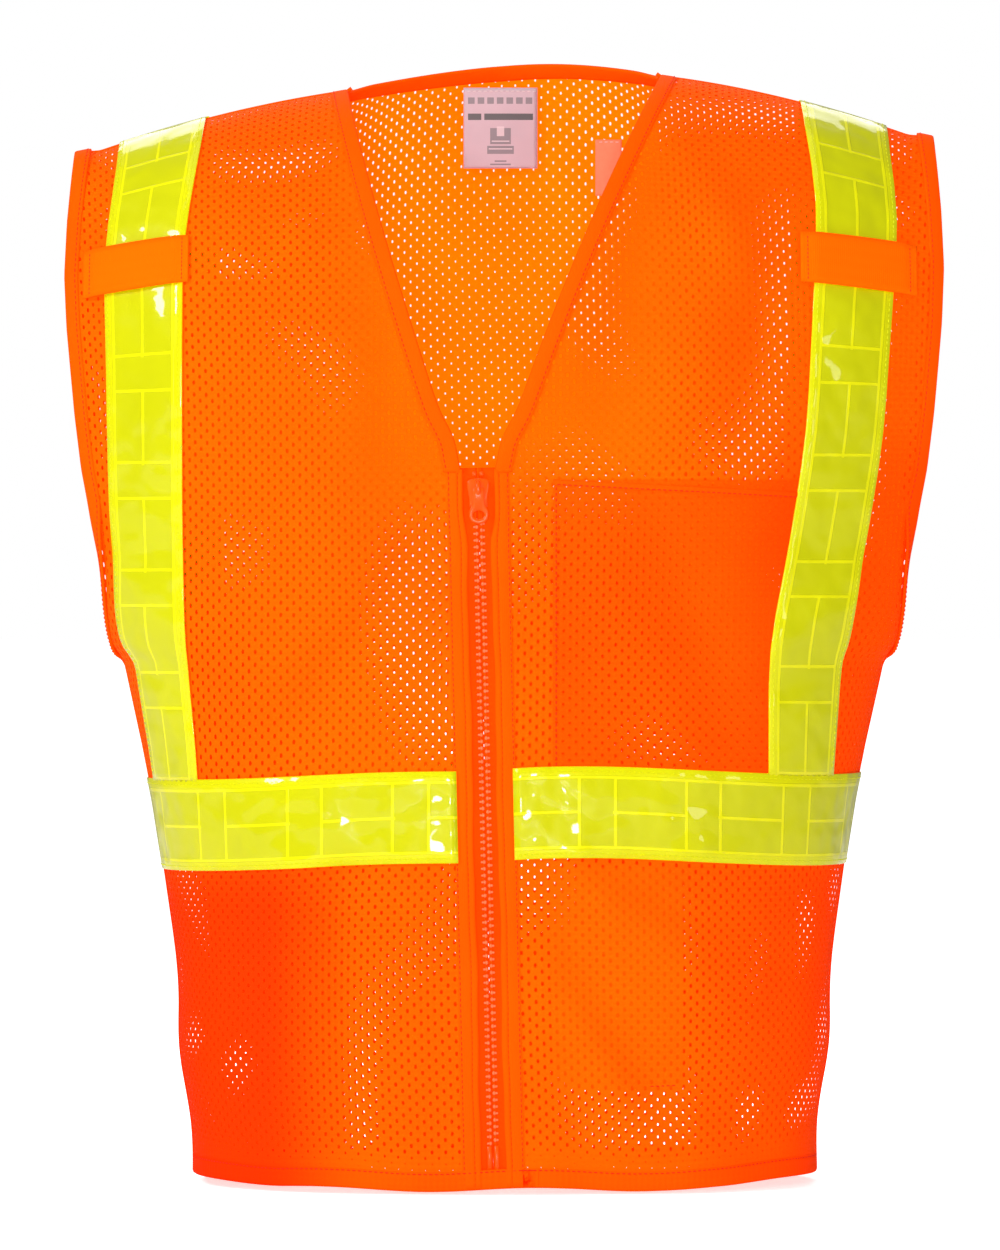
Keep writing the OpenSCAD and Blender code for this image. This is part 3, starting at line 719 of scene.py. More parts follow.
def tape_material():
    """Glossy lime PVC: raised grid lines in a brick pattern over a clear, wavy top film."""
    material, tree, shader = node_material("lime_tape")
    u, v = uv_parts(tree)
    mm = 1 / MM
    across = math_node(tree, "ABSOLUTE", math_node(tree, "SUBTRACT", math_node(tree, "MULTIPLY", u, mm), TAPE_W / 2))
    along = math_node(tree, "MODULO", math_node(tree, "ADD", math_node(tree, "MULTIPLY", v, mm), 600.0), 60.0)

    def line(distance, half):
        edge = math_node(tree, "SUBTRACT", half, distance)
        return math_node(tree, "MULTIPLY", edge, 2.5, clamp=True)

    half_line = 1.1
    border = line(math_node(tree, "ABSOLUTE", math_node(tree, "SUBTRACT", across, 19.4)), half_line)
    rung_a = line(math_node(tree, "ABSOLUTE", math_node(tree, "SUBTRACT", along, 1.5)), half_line)
    rung_b = line(math_node(tree, "ABSOLUTE", math_node(tree, "SUBTRACT", along, 41.5)), half_line)
    middle = math_node(tree, "MULTIPLY", line(across, half_line),
                       math_node(tree, "MULTIPLY", math_node(tree, "SUBTRACT", 41.5, along), 2.0, clamp=True))
    inner = math_node(tree, "MAXIMUM", math_node(tree, "MAXIMUM", rung_a, rung_b), middle)
    inner = math_node(tree, "MULTIPLY", inner,
                      math_node(tree, "MULTIPLY", math_node(tree, "SUBTRACT", 20.0, across), 2.5, clamp=True))
    grid = math_node(tree, "MAXIMUM", border, inner)
    margin = math_node(tree, "MULTIPLY", math_node(tree, "SUBTRACT", across, 20.0), 1.5, clamp=True)

    tone = noise(tree, 22.0, 2.0)
    prism = noise(tree, 1400.0, 1.0)
    field = mix_color(tree, tone, (0.42, 0.43, 0.0), (0.50, 0.50, 0.0))
    field = mix_color(tree, math_node(tree, "MULTIPLY", prism, 0.25), field, (0.38, 0.40, 0.0))
    color = mix_color(tree, math_node(tree, "MAXIMUM", grid, math_node(tree, "MULTIPLY", margin, 0.5)),
                      field, (0.62, 0.60, 0.0))
    tree.links.new(color, shader.inputs["Base Color"])
    tree.links.new(color, shader.inputs["Emission Color"])
    shader.inputs["Emission Strength"].default_value = 0.11
    shader.inputs["Roughness"].default_value = 0.32
    shader.inputs["Specular IOR Level"].default_value = 0.05
    shader.inputs["Coat Weight"].default_value = 0.45
    shader.inputs["Coat Roughness"].default_value = 0.04
    shader.inputs["Coat IOR"].default_value = 1.5
    wave = noise(tree, 52.0, 1.0)
    low = bump(tree, wave, 1.0, 2.6 * MM, None)
    tree.links.new(low, shader.inputs["Coat Normal"])
    bump(tree, grid, 0.7, 0.35 * MM, shader, low)
    return material


def plastic_material(name, base, deep, roughness, glow=0.06):
    material, tree, shader = node_material(name)
    color = mix_color(tree, noise(tree, 180.0, 3.0), deep, base)
    tree.links.new(color, shader.inputs["Base Color"])
    tree.links.new(color, shader.inputs["Emission Color"])
    shader.inputs["Emission Strength"].default_value = glow
    shader.inputs["Roughness"].default_value = roughness
    shader.inputs["Specular IOR Level"].default_value = 0.2
    bump(tree, noise(tree, 700.0, 2.0), 0.25, 0.1 * MM, shader)
    return material


def label_material():
    """Satin label with generic grey blocks and a plain outline of a vest, and no lettering."""
    material, tree, shader = node_material("label_cloth")
    u, v = uv_parts(tree)
    x, y = u, v

    def block(x0, x1, y0, y1):
        def inside(value, low, high):
            return math_node(tree, "MULTIPLY", math_node(tree, "GREATER_THAN", value, low),
                             math_node(tree, "LESS_THAN", value, high))
        return math_node(tree, "MULTIPLY", inside(x, x0, x1), inside(y, y0, y1))

    def joined(blocks):
        out = blocks[0]
        for other in blocks[1:]:
            out = math_node(tree, "MAXIMUM", out, other)
        return out

    dark = joined([block(0.06, 0.24, 0.60, 0.68), block(0.28, 0.94, 0.60, 0.68)])
    grey = joined([block(0.06 + 0.13 * k, 0.15 + 0.13 * k, 0.80, 0.88) for k in range(7)]
                  + [block(0.36, 0.64, 0.30, 0.50), block(0.32, 0.68, 0.18, 0.28),
                     block(0.42, 0.58, 0.08, 0.10), block(0.36, 0.64, 0.04, 0.06)])
    light = joined([block(0.45, 0.55, 0.40, 0.52), block(0.38, 0.62, 0.33, 0.345), block(0.34, 0.66, 0.235, 0.25)])
    tone = mix_color(tree, noise(tree, 60.0, 2.0), (0.40, 0.28, 0.31), (0.45, 0.32, 0.35))
    color = mix_color(tree, math_node(tree, "MULTIPLY", grey, 0.8), tone, (0.12, 0.10, 0.11))
    color = mix_color(tree, math_node(tree, "MULTIPLY", light, 0.8), color, (0.55, 0.42, 0.44))
    color = mix_color(tree, math_node(tree, "MULTIPLY", dark, 0.9), color, (0.02, 0.02, 0.02))
    tree.links.new(color, shader.inputs["Base Color"])
    shader.inputs["Roughness"].default_value = 0.55
    shader.inputs["Sheen Weight"].default_value = 0.3
    bump(tree, noise(tree, 1500.0, 1.0), 0.4, 0.1 * MM, shader)
    return material


MESH = cloth_material("orange_mesh", (1.0, 0.098, 0.0), (1.0, 0.066, 0.0), 0.16, 3.7, 3.4, 0.35)
# Painted light: the back mesh is a lighter copy of the orange mesh, and it glows inside the neck opening.
MESH_BACK_LIT = cloth_material("orange_mesh_back_lit", (1.0, 0.135, 0.0), (1.0, 0.105, 0.0), 0.8, 3.7, 3.4, 0.3, front=False)
# Painted shade: the pocket mesh is a darker copy of the orange mesh, for the shade of the double layer.
MESH_POCKET_SHADED = cloth_material("orange_pocket_mesh_shaded", (1.0, 0.072, 0.0), (1.0, 0.050, 0.0), 0.16, 3.7, 3.4, 0.35)
HEM = cloth_material("orange_double_mesh", (1.0, 0.080, 0.0), (1.0, 0.055, 0.0), 0.16, 3.7, 3.4, 0.3)
TRIM = cloth_material("orange_binding", (1.0, 0.082, 0.0), (1.0, 0.060, 0.0), 0.16, 0.9, 0.7, 0.12)
# Painted shade: the zip tape is darker for the shade under the edges of the facings.
ZIP_CLOTH_SHADED = cloth_material("orange_zip_tape_shaded", (1.0, 0.064, 0.0), (0.95, 0.044, 0.0), 0.10, 0.8, 0.8, 0.12)
WEBBING = cloth_material("orange_webbing", (1.0, 0.112, 0.0), (1.0, 0.092, 0.0), 0.22, 1.3, 6.0, 0.25)
THREAD = plastic_material("orange_thread", (0.70, 0.012, 0.0), (0.55, 0.006, 0.0), 0.8, 0.1)
LIGHT_THREAD = plastic_material("light_thread", (0.7, 0.6, 0.6), (0.6, 0.5, 0.5), 0.6, 0.0)
LIME_THREAD = plastic_material("lime_thread", (0.60, 0.60, 0.0), (0.50, 0.52, 0.0), 0.5, 0.2)
TAPE = tape_material()
TEETH = plastic_material("orange_acetal", (1.0, 0.17, 0.06), (1.0, 0.10, 0.03), 0.5, 0.16)
ENAMEL = plastic_material("orange_enamel", (1.0, 0.080, 0.0), (0.95, 0.055, 0.0), 0.3, 0.08)
LABEL = label_material()
PLAIN_LABEL = plastic_material("plain_label", (0.62, 0.20, 0.10), (0.55, 0.15, 0.07), 0.6, 0.1)


# ---------------------------------------------------------------- fitting to the bodies
def bend_with_front(obj, side):
    """Bakes the piece's transform into its mesh; a fold axis is worked out but not used, and the piece is not attached
    to a body.
    """
    n = np.array([-side, 0, -FOLD_LEAN])
    n = n / np.linalg.norm(n)
    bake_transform(obj)
    return obj


def piece(name, data, material, nodes=(), body=None, side=None, smooth=True):
    verts, faces, uvs = data
    obj = new_object(name, verts, faces, material, smooth, uvs)
    if nodes:
        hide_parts(*nodes)
    if side is not None:
        bend_with_front(obj, side)
    else:
        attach(obj, body)
    return obj


# ---------------------------------------------------------------- panels
def front_panel(side):
    def free(q):
        return side * free_edge_s(side, q, 4.0)

    def outer(q):
        return s_side(FRONT, row_of(q))

    verts, faces, uvs = knit(FRONT, free, outer, 0.0, CHEST + ARC_TOP, phase=side,
                             hole=lambda s, q: 0.2 + 0.8 * smoothstep(13, 26, q))
    # the lattice is built on the wearer's left and mirrored in cloth coordinates
    s = side * uvs[:, 0]
    verts = place(FRONT, s, uvs[:, 1])
    if side == LEFT:
        faces = faces[:, ::-1]
    name = SIDE_NAME[side] + "_front_panel"
    return piece(name, (verts, faces, uvs), MESH, (name + "_inner", name + "_outer"), side=side)


def back_hole(s, q):
    """Share of the full hole size over the back, which is drawn open towards the shoulders."""
    middle = smoothstep(62, 18, np.abs(s)) * smoothstep(370, 430, q)
    return (0.62 + 0.20 * smoothstep(500, 600, q)) * (1 - 0.26 * middle)


def back_panel():
    data = knit(BACK, lambda q: -s_side(BACK, row_of(q)), lambda q: s_side(BACK, row_of(q)),
                0.0, CHEST + ARC_TOP, top_row=lambda x: back_neck_row(x, 3.0), phase=2.5, pitch=1.028,
                hole=back_hole)
    return piece("back_panel", data, MESH_BACK_LIT, ("back_panel",), body="back")


# ---------------------------------------------------------------- bindings
def neck_binding_front(side):
    h = np.linspace(V_BOTTOM - 3, CHEST, 12)[:-1]
    row = np.concatenate([h / CHEST, np.linspace(1, 2, 60)])
    q = cloth_q(row)
    height = row_height(FRONT, row, 86.0)
    s = s_of(FRONT, neck_x(side, height), row)
    p, across, normal = path_frame(FRONT, s, q, -side)
    data = loft(p, across, normal, binding_profile(BINDING_W, 2.4))
    name = SIDE_NAME[side] + "_neck_binding"
    piece(name, data, TRIM, (name + "_upper", name + "_lower"), side=side)
    return p + across * (BINDING_W - 1.6) + normal * 1.0, normal


def neck_binding_back():
    x = NECK_HALF * np.sin(np.linspace(-np.pi / 2, np.pi / 2, 70)) * 0.9999
    row = back_neck_row(x)
    q = cloth_q(row)
    s = s_of(BACK, x, row)
    p, across, normal = path_frame(BACK, s, q, -1)
    data = loft(p, across, normal, binding_profile(BINDING_W, 2.4))
    piece("back_neck_binding", data, TRIM, ("back_neck_binding",), body="back")
    return p + across * (BINDING_W - 1.6) + normal * 1.0, normal


def armhole_half(face, side):
    drop = np.linspace(0, 1, 80)
    low_q = UNDERARM + 0.5
    q = low_q + (CHEST + ARC_TOP - low_q) * drop ** 1.6
    s = side * s_side(face, row_of(q))
    return path_frame(face, s, q, side)


def armhole_binding(side):
    fp, fa, fn = armhole_half(FRONT, side)
    bp, ba, bn = armhole_half(BACK, side)
    p = np.concatenate([fp[::-1], bp])
    across = np.concatenate([fa[::-1], ba])
    normal = np.concatenate([fn[::-1], bn])
    for _ in range(2):
        for field in (across, normal):
            field[1:-1] = field[:-2] + 2 * field[1:-1] + field[2:]
            field /= np.linalg.norm(field, axis=1, keepdims=True)
    data = loft(p, across, normal, binding_profile(BINDING_W, 2.4))
    name = SIDE_NAME[side] + "_armhole_binding"
    piece(name, data, TRIM, (name + "_front", name + "_back"), body="back")
    return p + across * (BINDING_W - 1.6) + normal * 1.0, normal


# ---------------------------------------------------------------- tapes
TAPE_OFF = 1.0
TAPE_T = 0.8
TAPE_LOW_Q = WAIST_LOW + TAPE_W - 1.0


def vertical_tape(face, side):
    rows = 110
    if face == FRONT:
        def near(q):
            row = row_of(q)
            return s_of(FRONT, tape_edge_x(side, row_height(FRONT, row, 190.0)), row)
        name, slot_name = SIDE_NAME[side] + "_front_tape", "reflective_tape"
    else:
        def near(q):
            row = row_of(q)
            h = row_height(BACK, row, 190.0)
            return s_of(BACK, side * (150 + (166 - 150) * h / 600), row)
        name, slot_name = SIDE_NAME[side] + "_back_tape", "reflective_tape"

    def far(q):
        return near(q) + side * TAPE_W

    data = strip(face, near, far, TAPE_LOW_Q, CHEST + ARC_TOP, TAPE_OFF, TAPE_T, 14, rows)
    if (side == LEFT) != (face == FRONT):
        data = (data[0], [tuple(reversed(f)) for f in data[1]], data[2])
    data[2][:, 0] = np.abs(data[2][:, 0])
    piece(name, data, TAPE, (name,), body="back")
    q = np.linspace(TAPE_LOW_Q + 3, CHEST + ARC_TOP, 200)
    return [stitch_path(face, near(q) + side * inset, q, TAPE_OFF + TAPE_T) for inset in (2.6, TAPE_W - 2.6)]


def ribbon(face, s_low, s_high, q_low, width, off, thick, cols, rows=12):
    """A strip that runs round the body. Its edge curves are functions of the row."""
    u = np.linspace(0, 1, cols)[None, :] * np.ones((rows, 1))
    soft = 0.45 / width
    v = np.concatenate([[0, soft], np.linspace(0, 1, rows - 2)[1:-1], [1 - soft, 1]])[:, None]
    q = q_low + width * v * np.ones((1, cols))
    row = row_of(q)
    lo, hi = s_low(row[:, 0])[:, None], s_high(row[:, 0])[:, None]
    s = lo + (hi - lo) * u
    lift = np.full_like(s, thick)
    lift[0] = lift[-1] = thick * 0.45
    verts, faces = two_sided(place(face, s, q, off + lift), place(face, s, q, off), face == BACK)
    uvs = np.stack([q - q_low, np.abs(s)], -1).reshape(-1, 2)
    return verts, faces, np.concatenate([uvs, uvs])


def ribbon_stitches(face, s_low, s_high, q, off, **kw):
    t = np.linspace(0, 1, 160)
    row = row_of(np.full(160, q))
    return stitch_path(face, s_low(row) * (1 - t) + s_high(row) * t, np.full(160, q), off, **kw)


def waist_tape(face, s_low, s_high, name, nodes, side=None):
    cols = 60 if face == FRONT else 130
    data = ribbon(face, s_low, s_high, WAIST_LOW, TAPE_W, TAPE_OFF, TAPE_T, cols)
    piece(name, data, TAPE, nodes, body=None if side else "back", side=side)
    return [ribbon_stitches(face, s_low, s_high, WAIST_LOW + inset, TAPE_OFF + TAPE_T)
            for inset in (2.6, TAPE_W - 2.6)]


def front_waist_tape(side):
    def near(row):
        return s_of(FRONT, zip_x(row * CHEST) + side * (STRIP_HALF - 1), row)

    def far(row):
        return side * s_side(FRONT, row)

    low, high = (far, near) if side == RIGHT else (near, far)
    name = SIDE_NAME[side] + "_waist_tape"
    return waist_tape(FRONT, low, high, name, (name + "_inner", name + "_outer"), side)


def back_waist_tape():
    return waist_tape(BACK, lambda r: -s_side(BACK, r), lambda r: s_side(BACK, r),
                      "back_waist_tape", ("back_waist_tape",))


for build_side in (RIGHT, LEFT):
    front_panel(build_side)
back_panel()
orange_thread = {RIGHT: [], LEFT: [], 0: []}
lime_thread = {RIGHT: [], LEFT: [], 0: []}
for build_side in (RIGHT, LEFT):
    line, line_normal = neck_binding_front(build_side)
    orange_thread[build_side].append(stitches(line, line_normal))
    line, line_normal = armhole_binding(build_side)
    orange_thread[0].append(stitches(line, line_normal))
    for tape_face in (FRONT, BACK):
        lime_thread[0] += vertical_tape(tape_face, build_side)
    lime_thread[build_side] += front_waist_tape(build_side)
line, line_normal = neck_binding_back()
orange_thread[0].append(stitches(line, line_normal))
lime_thread[0] += back_waist_tape()


# ---------------------------------------------------------------- clip tabs
TAB_CORNERS = {  # x and z of the middle of the inner end, then of the outer end
    RIGHT: ((-174.8, 515.6), (-234.0, 506.2)),
    LEFT: ((164.0, 516.6), (229.5, 509.2)),
}


def clip_tab(side):
    """Grosgrain tab over the tape: lies on it, and drops to the mesh at both sewn ends."""
    node = SIDE_NAME[side] + "_clip_tab"
    (x_in, z_in), (x_out, z_out) = TAB_CORNERS[side]
    cols, rows, width = 56, 9, 25.4
    u = np.linspace(0, 1, cols)[None, :] * np.ones((rows, 1))
    v = np.linspace(-0.5, 0.5, rows)[:, None] * np.ones((1, cols))
    x = x_in + (x_out - x_in) * u
    h = z_in + (z_out - z_in) * u + v * (width + 1.2) - 4.6 * np.sign(x) * 0.6
    row = row_at(FRONT, h, x)
    q = cloth_q(row)
    s = s_of(FRONT, x.ravel(), row.ravel()).reshape(x.shape)
    ride_up = smoothstep(0.02, 0.14, u) * (1 - smoothstep(0.86, 0.98, u))
    bow = 1.3 * np.sin(np.pi * u) ** 0.8
    off = 1.0 + ride_up * (TAPE_OFF + TAPE_T - 0.4) + bow
    top = place(FRONT, s, q, off + 1.1)
    verts, faces = two_sided(top, place(FRONT, s, q, off), side == RIGHT)
    uvs = np.stack([u * abs(x_out - x_in) * 1.15, v * width], -1).reshape(-1, 2)
    piece(node, (verts, faces, np.concatenate([uvs, uvs])), WEBBING, (node,), body="back")
    for end in (0.055, 0.945):
        k = int(end * (cols - 1))
        normal = outward(FRONT, UNROLL[FRONT].angle(s[:, k], row[:, k]), row[:, k])
        orange_thread[0].append(stitches(top[:, k], normal, pitch=2.4, length=1.8))


for build_side in (RIGHT, LEFT):
    clip_tab(build_side)


# ---------------------------------------------------------------- pockets
def patch(face, x_low, x_high, q_low, q_high, off, phase):
    """Mesh cloth patch sewn on the front, on the wearer's left."""
    def low(q):
        return s_of(face, x_low(q), row_of(q))

    def high(q):
        return s_of(face, x_high(q), row_of(q))

    return knit(face, low, high, q_low, q_high, off=off, phase=phase), low, high


def chest_pocket():
    low_box, high_box = box_mm("chest_pocket_inner")
    x_in, q_low, q_high = low_box[0], low_box[2] - 4, high_box[2] + 1

    def slope(x):
        return (q_high - 7.0 * (np.abs(x) - x_in) / 140) / CHEST

    (verts, faces, uvs), low, high = patch(FRONT, lambda q: np.full(np.shape(q), x_in),
                                           lambda q: tape_edge_x(LEFT, q) + 6, q_low, q_high, 0.85, LEFT + 0.3)
    faces = faces[:, ::-1]
    piece("chest_pocket", (verts, faces, uvs), MESH_POCKET_SHADED, ("chest_pocket_inner", "chest_pocket_outer"), side=LEFT)
    rows, cols = 6, 40
    u, v = np.meshgrid(np.linspace(0, 1, cols), np.linspace(0, 1, rows))
    x = x_in + (175.5 - x_in) * u
    q = slope(x) * CHEST - 3.0 + 3.5 * v
    s = s_of(FRONT, x.ravel(), row_of(q).ravel()).reshape(x.shape)
    puff = 0.35 * np.sin(np.pi * v)
    top, under = place(FRONT, s, q, 1.25 + puff), place(FRONT, s, q, 0.9)
    hem_uv = np.stack([s, q], -1).reshape(-1, 2)
    verts, faces = two_sided(top, under)
    piece("chest_pocket_hem", (verts, faces, np.concatenate([hem_uv, hem_uv])), MESH_POCKET_SHADED, side=LEFT)
    t = np.linspace(0, 1, 140)
    q_line = q_low + (q_high - q_low) * t
    orange_thread[LEFT].append(stitch_path(FRONT, low(q_line) + 1.6, q_line, 1.1))
    orange_thread[LEFT].append(stitch_path(FRONT, s[1], q[1], 1.45))


def inside_pocket():
    """Patch of mesh sewn inside the left front; part of its bottom seam shows outside."""
    low_box, high_box = box_mm("inside_pocket")
    (verts, faces, uvs), low, high = patch(
        FRONT, lambda q: np.full(np.shape(q), low_box[0]), lambda q: np.full(np.shape(q), high_box[0]),
        low_box[2], high_box[2], -1.6, 2.2)
    piece("inside_pocket", (verts, faces, uvs), MESH, ("inside_pocket",), side=LEFT)
    q = np.full(40, low_box[2] + 2)
    s = s_of(FRONT, np.linspace(low_box[0] + 52, high_box[0] - 2, 40), row_of(q))
    orange_thread[LEFT].append(stitch_path(FRONT, s, q, 0.5))


chest_pocket()
inside_pocket()


# ---------------------------------------------------------------- hems and seams
HEM_W = 11.0


def hem(face, s_low, s_high, name, side=None):
    """The bottom edge turned up once and sewn down: a plain double band."""
    data = ribbon(face, s_low, s_high, 0.0, HEM_W, -0.7, 1.3, 90, 6)
    piece(name, data, HEM, body=None if side else "back", side=side)
    line = ribbon_stitches(face, s_low, s_high, HEM_W - 1.2, 0.7)
    orange_thread[side or 0].append(line)


def front_hem(side):
    def near(row):
        return side * free_edge_s(side, row * CHEST, 3.0)

    def far(row):
        return side * s_side(FRONT, row)

    low, high = (near, far) if side == LEFT else (far, near)
    hem(FRONT, low, high, SIDE_NAME[side] + "_front_hem", side)


def seam(face, s, q, name, width=3.2, thick=2.2, inward=1):
    """A narrow overlocked ridge along a seam."""
    p, across, normal = path_frame(face, s, q, inward)
    data = loft(p - across * width / 2, across, normal, binding_profile(width, thick))
    piece(name, data, TRIM, body="back")


def seams():
    for side in (RIGHT, LEFT):
        front_hem(side)
        q = np.linspace(1, UNDERARM + 2, 90)
        seam(BACK, side * s_side(BACK, row_of(q)) * 0.9999, q, SIDE_NAME[side] + "_side_seam", inward=-1)
        x = side * np.linspace(NECK_HALF - 2, TIP_X - 1, 60)
        row = np.full(60, 1.985)
        seam(BACK, s_of(BACK, x, row), cloth_q(row), SIDE_NAME[side] + "_shoulder_seam")
    hem(BACK, lambda r: -s_side(BACK, r), lambda r: s_side(BACK, r), "back_hem")


seams()


# ---------------------------------------------------------------- zip
def on_zip(points):
    """From zip axes, with z up the zip from the hem, to the shared axes."""
    points = np.asarray(points, float)
    tilt = math.atan((ZIP_LOW_X - ZIP_TOP_X) / V_BOTTOM)
    x, y, z = points[..., 0], points[..., 1], points[..., 2]
    return np.stack([x * math.cos(tilt) - z * math.sin(tilt) + ZIP_LOW_X,
                     y + ZIP_Y, z * math.cos(tilt) + x * math.sin(tilt)], -1)


ZIP_Y = (box_mm("right_zip_teeth")[0][1] + box_mm("right_zip_teeth")[1][1]) / 2
TEETH_LOW, TEETH_HIGH = (box_mm("right_zip_teeth")[k][2] for k in (0, 1))
TOOTH_PITCH = 3.7
ZIP_CLOTH_TOP = V_BOTTOM
FACING_IN = 6.2


def tube(points, radius, sides=8):
    """A round cord along zip-axis points."""
    ring = np.linspace(0, 2 * np.pi, sides, endpoint=False)
    verts = np.stack([points + radius * np.array([math.cos(a), math.sin(a), 0]) for a in ring], 1)
    count = len(points)
    faces = [(j * sides + i, j * sides + (i + 1) % sides, (j + 1) * sides + (i + 1) % sides, (j + 1) * sides + i)
             for j in range(count - 1) for i in range(sides)]
    faces += [tuple(reversed(range(sides))), tuple((count - 1) * sides + i for i in range(sides))]
    uvs = np.stack([np.broadcast_to(ring * radius, (count, sides)),
                    np.broadcast_to(points[:, 2:], (count, sides))], -1).reshape(-1, 2)
    return on_zip(verts.reshape(-1, 3)), faces, uvs


def rounded_block(x, y, z, sizes, soft):
    """A chamfered block in zip axes."""
    hx, hy, hz = (v / 2 for v in sizes)
    layers = [(hx - soft, hy - soft, -hz), (hx, hy, -hz + soft), (hx, hy, hz - soft), (hx - soft, hy - soft, hz)]
    verts, ring = [], 8
    for lx, ly, lz in layers:
        c = min(soft, lx, ly)
        verts += [(x + px, y + py, z + lz) for px, py in (
            (lx, -ly + c), (lx, ly - c), (lx - c, ly), (-lx + c, ly),
            (-lx, ly - c), (-lx, -ly + c), (-lx + c, -ly), (lx - c, -ly))]
    faces = [(j * ring + i, j * ring + (i + 1) % ring, (j + 1) * ring + (i + 1) % ring, (j + 1) * ring + i)
             for j in range(3) for i in range(ring)]
    faces += [tuple(reversed(range(ring))), tuple(3 * ring + i for i in range(ring))]
    return on_zip(verts), faces, np.zeros((len(verts), 2))


def tooth(side, z):
    """A moulded tooth: a wide head by the middle, and a narrower foot over the cord."""
    head = rounded_block(side * 1.3, 0, z, (1.7, 2.5, 2.1), 0.55)
    foot = rounded_block(side * 2.5, 0, z, (1.5, 2.1, 1.3), 0.35)
    return merge(head, foot)


def zip_half(side):
    name = SIDE_NAME[side]
    body = name + "_front"
    shift = 0 if side == RIGHT else TOOTH_PITCH / 2
    zs = np.arange(TEETH_LOW + 0.7 + shift, TEETH_HIGH - 0.5, TOOTH_PITCH)
    data = merge(*[tooth(side, z) for z in zs])
    piece(name + "_zip_teeth", data, TEETH, (name + "_zip_teeth",), body=body, smooth=False)
    z = np.linspace(8, ZIP_CLOTH_TOP, 60)
    line = np.stack([np.full(60, side * 1.7), np.full(60, 0.5), z], 1)
    cord = tube(line, 0.7)
    rows, cols = 60, 12
    x = side * np.linspace(0.15, 15.4, cols)
    grid = np.stack(np.broadcast_arrays(x[None, :], 0.0, z[:, None]), -1)
    back = grid + [0, 0.7, 0]
    top, low = on_zip(back - [0, 0.28, 0]), on_zip(back + [0, 0.28, 0])
    verts, faces = two_sided(top, low, side == RIGHT)
    uvs = np.stack(np.broadcast_arrays(np.abs(x)[None, :], z[:, None]), -1).reshape(-1, 2)
    data = merge(cord, (verts, faces, np.concatenate([uvs, uvs])))
    piece(name + "_zip_tape", data, ZIP_CLOTH_SHADED, (name + "_zip_tape",), body=body)


def facing(side):
    """Strip of binding cloth beside the chain, folded along its free edge and sewn twice."""
    name = SIDE_NAME[side] + "_zip_facing"
    rows = 110
    h = np.linspace(0.5, V_BOTTOM - 1.0, rows)
    across = np.array([0.0, 0.25, 0.9, 2.0, 2.9, 3.2, 3.5, 4.6, 6.2, 8.0, 8.6, 9.2, 9.5])
    height = np.array([0.0, 0.75, 1.15, 1.2, 1.0, 0.45, 1.0, 1.05, 0.95, 0.75, 0.45, 0.75, 0.2])
    wobble = 0.35 * np.sin(h / 21 + side) + 0.2 * np.sin(h / 7.3)
    inner = FACING_IN + 0.35 + wobble + 2.2 * smoothstep(355, 378, h)
    span = STRIP_HALF + 0.6 - inner
    x = zip_x(h)[:, None] + side * (inner[:, None] + span[:, None] * across[None, :] / across[-1])
    q = np.broadcast_to(h[:, None], x.shape)
    s = s_of(FRONT, x.ravel(), row_of(q).ravel()).reshape(x.shape)
    top = place(FRONT, s, q, height[None, :] - 0.15)
    low = place(FRONT, s, q, np.minimum(height, 0.0)[None, :] - 0.55)
    verts, faces = two_sided(top, low, side == RIGHT)
    uvs = np.stack([np.broadcast_to(across, x.shape), q], -1).reshape(-1, 2)
    piece(name, (verts, faces, np.concatenate([uvs, uvs])), TRIM, (name,), body=SIDE_NAME[side] + "_front")
    for spot in (5, 10):
        n = np.tile([0.0, -1.0, 0.0], (rows, 1))
        orange_thread[side].append(stitches(top[:, spot], n, pitch=3.0, length=2.1, width=0.5))


for build_side in (RIGHT, LEFT):
    zip_half(build_side)
    facing(build_side)


def plate(outline, front, back_face, soft, hole=None):
    """A flat part in zip axes from an outline of (x, z) pairs, with rounded front and back rims."""
    outline = np.array(outline, float)
    centre = outline.mean(0)
    reach = np.linalg.norm(outline - centre, axis=1, keepdims=True)
    inset = centre + (outline - centre) * (1 - soft / reach)
    rings = [(inset, front), (outline, front + soft), (outline, back_face - soft), (inset, back_face)]
    n = len(outline)
    if hole is not None:
        hole = np.array(hole, float)
        rings = [(hole, back_face), (hole, front)] + rings
    verts = np.concatenate([np.stack([r[:, 0], np.full(n, y), r[:, 1]], 1) for r, y in rings])
    count = len(rings)
    last = count if hole is not None else count - 1
    faces = [(j * n + i, j * n + (i + 1) % n, (j + 1) % count * n + (i + 1) % n, (j + 1) % count * n + i)
             for j in range(last) for i in range(n)]
    if hole is None:
        faces += [tuple(reversed(range(n))), tuple((count - 1) * n + i for i in range(n))]
    return on_zip(verts), faces, np.zeros((len(verts), 2))


def smooth_outline(half, samples=48):
    """Closed outline from (half width, z) pairs from top to bottom, rounded by averaging each point with its
    neighbours.
    """
    half = np.array(half, float)
    t = np.linspace(0, 1, samples // 2)
    at = np.linspace(0, 1, len(half))
    fine = np.stack([np.interp(t, at, half[:, k]) for k in (0, 1)], 1)
    for _ in range(2):
        fine[1:-1] = (fine[:-2] + 2 * fine[1:-1] + fine[2:]) / 4
    return np.concatenate([fine, fine[::-1] * [-1, 1]])


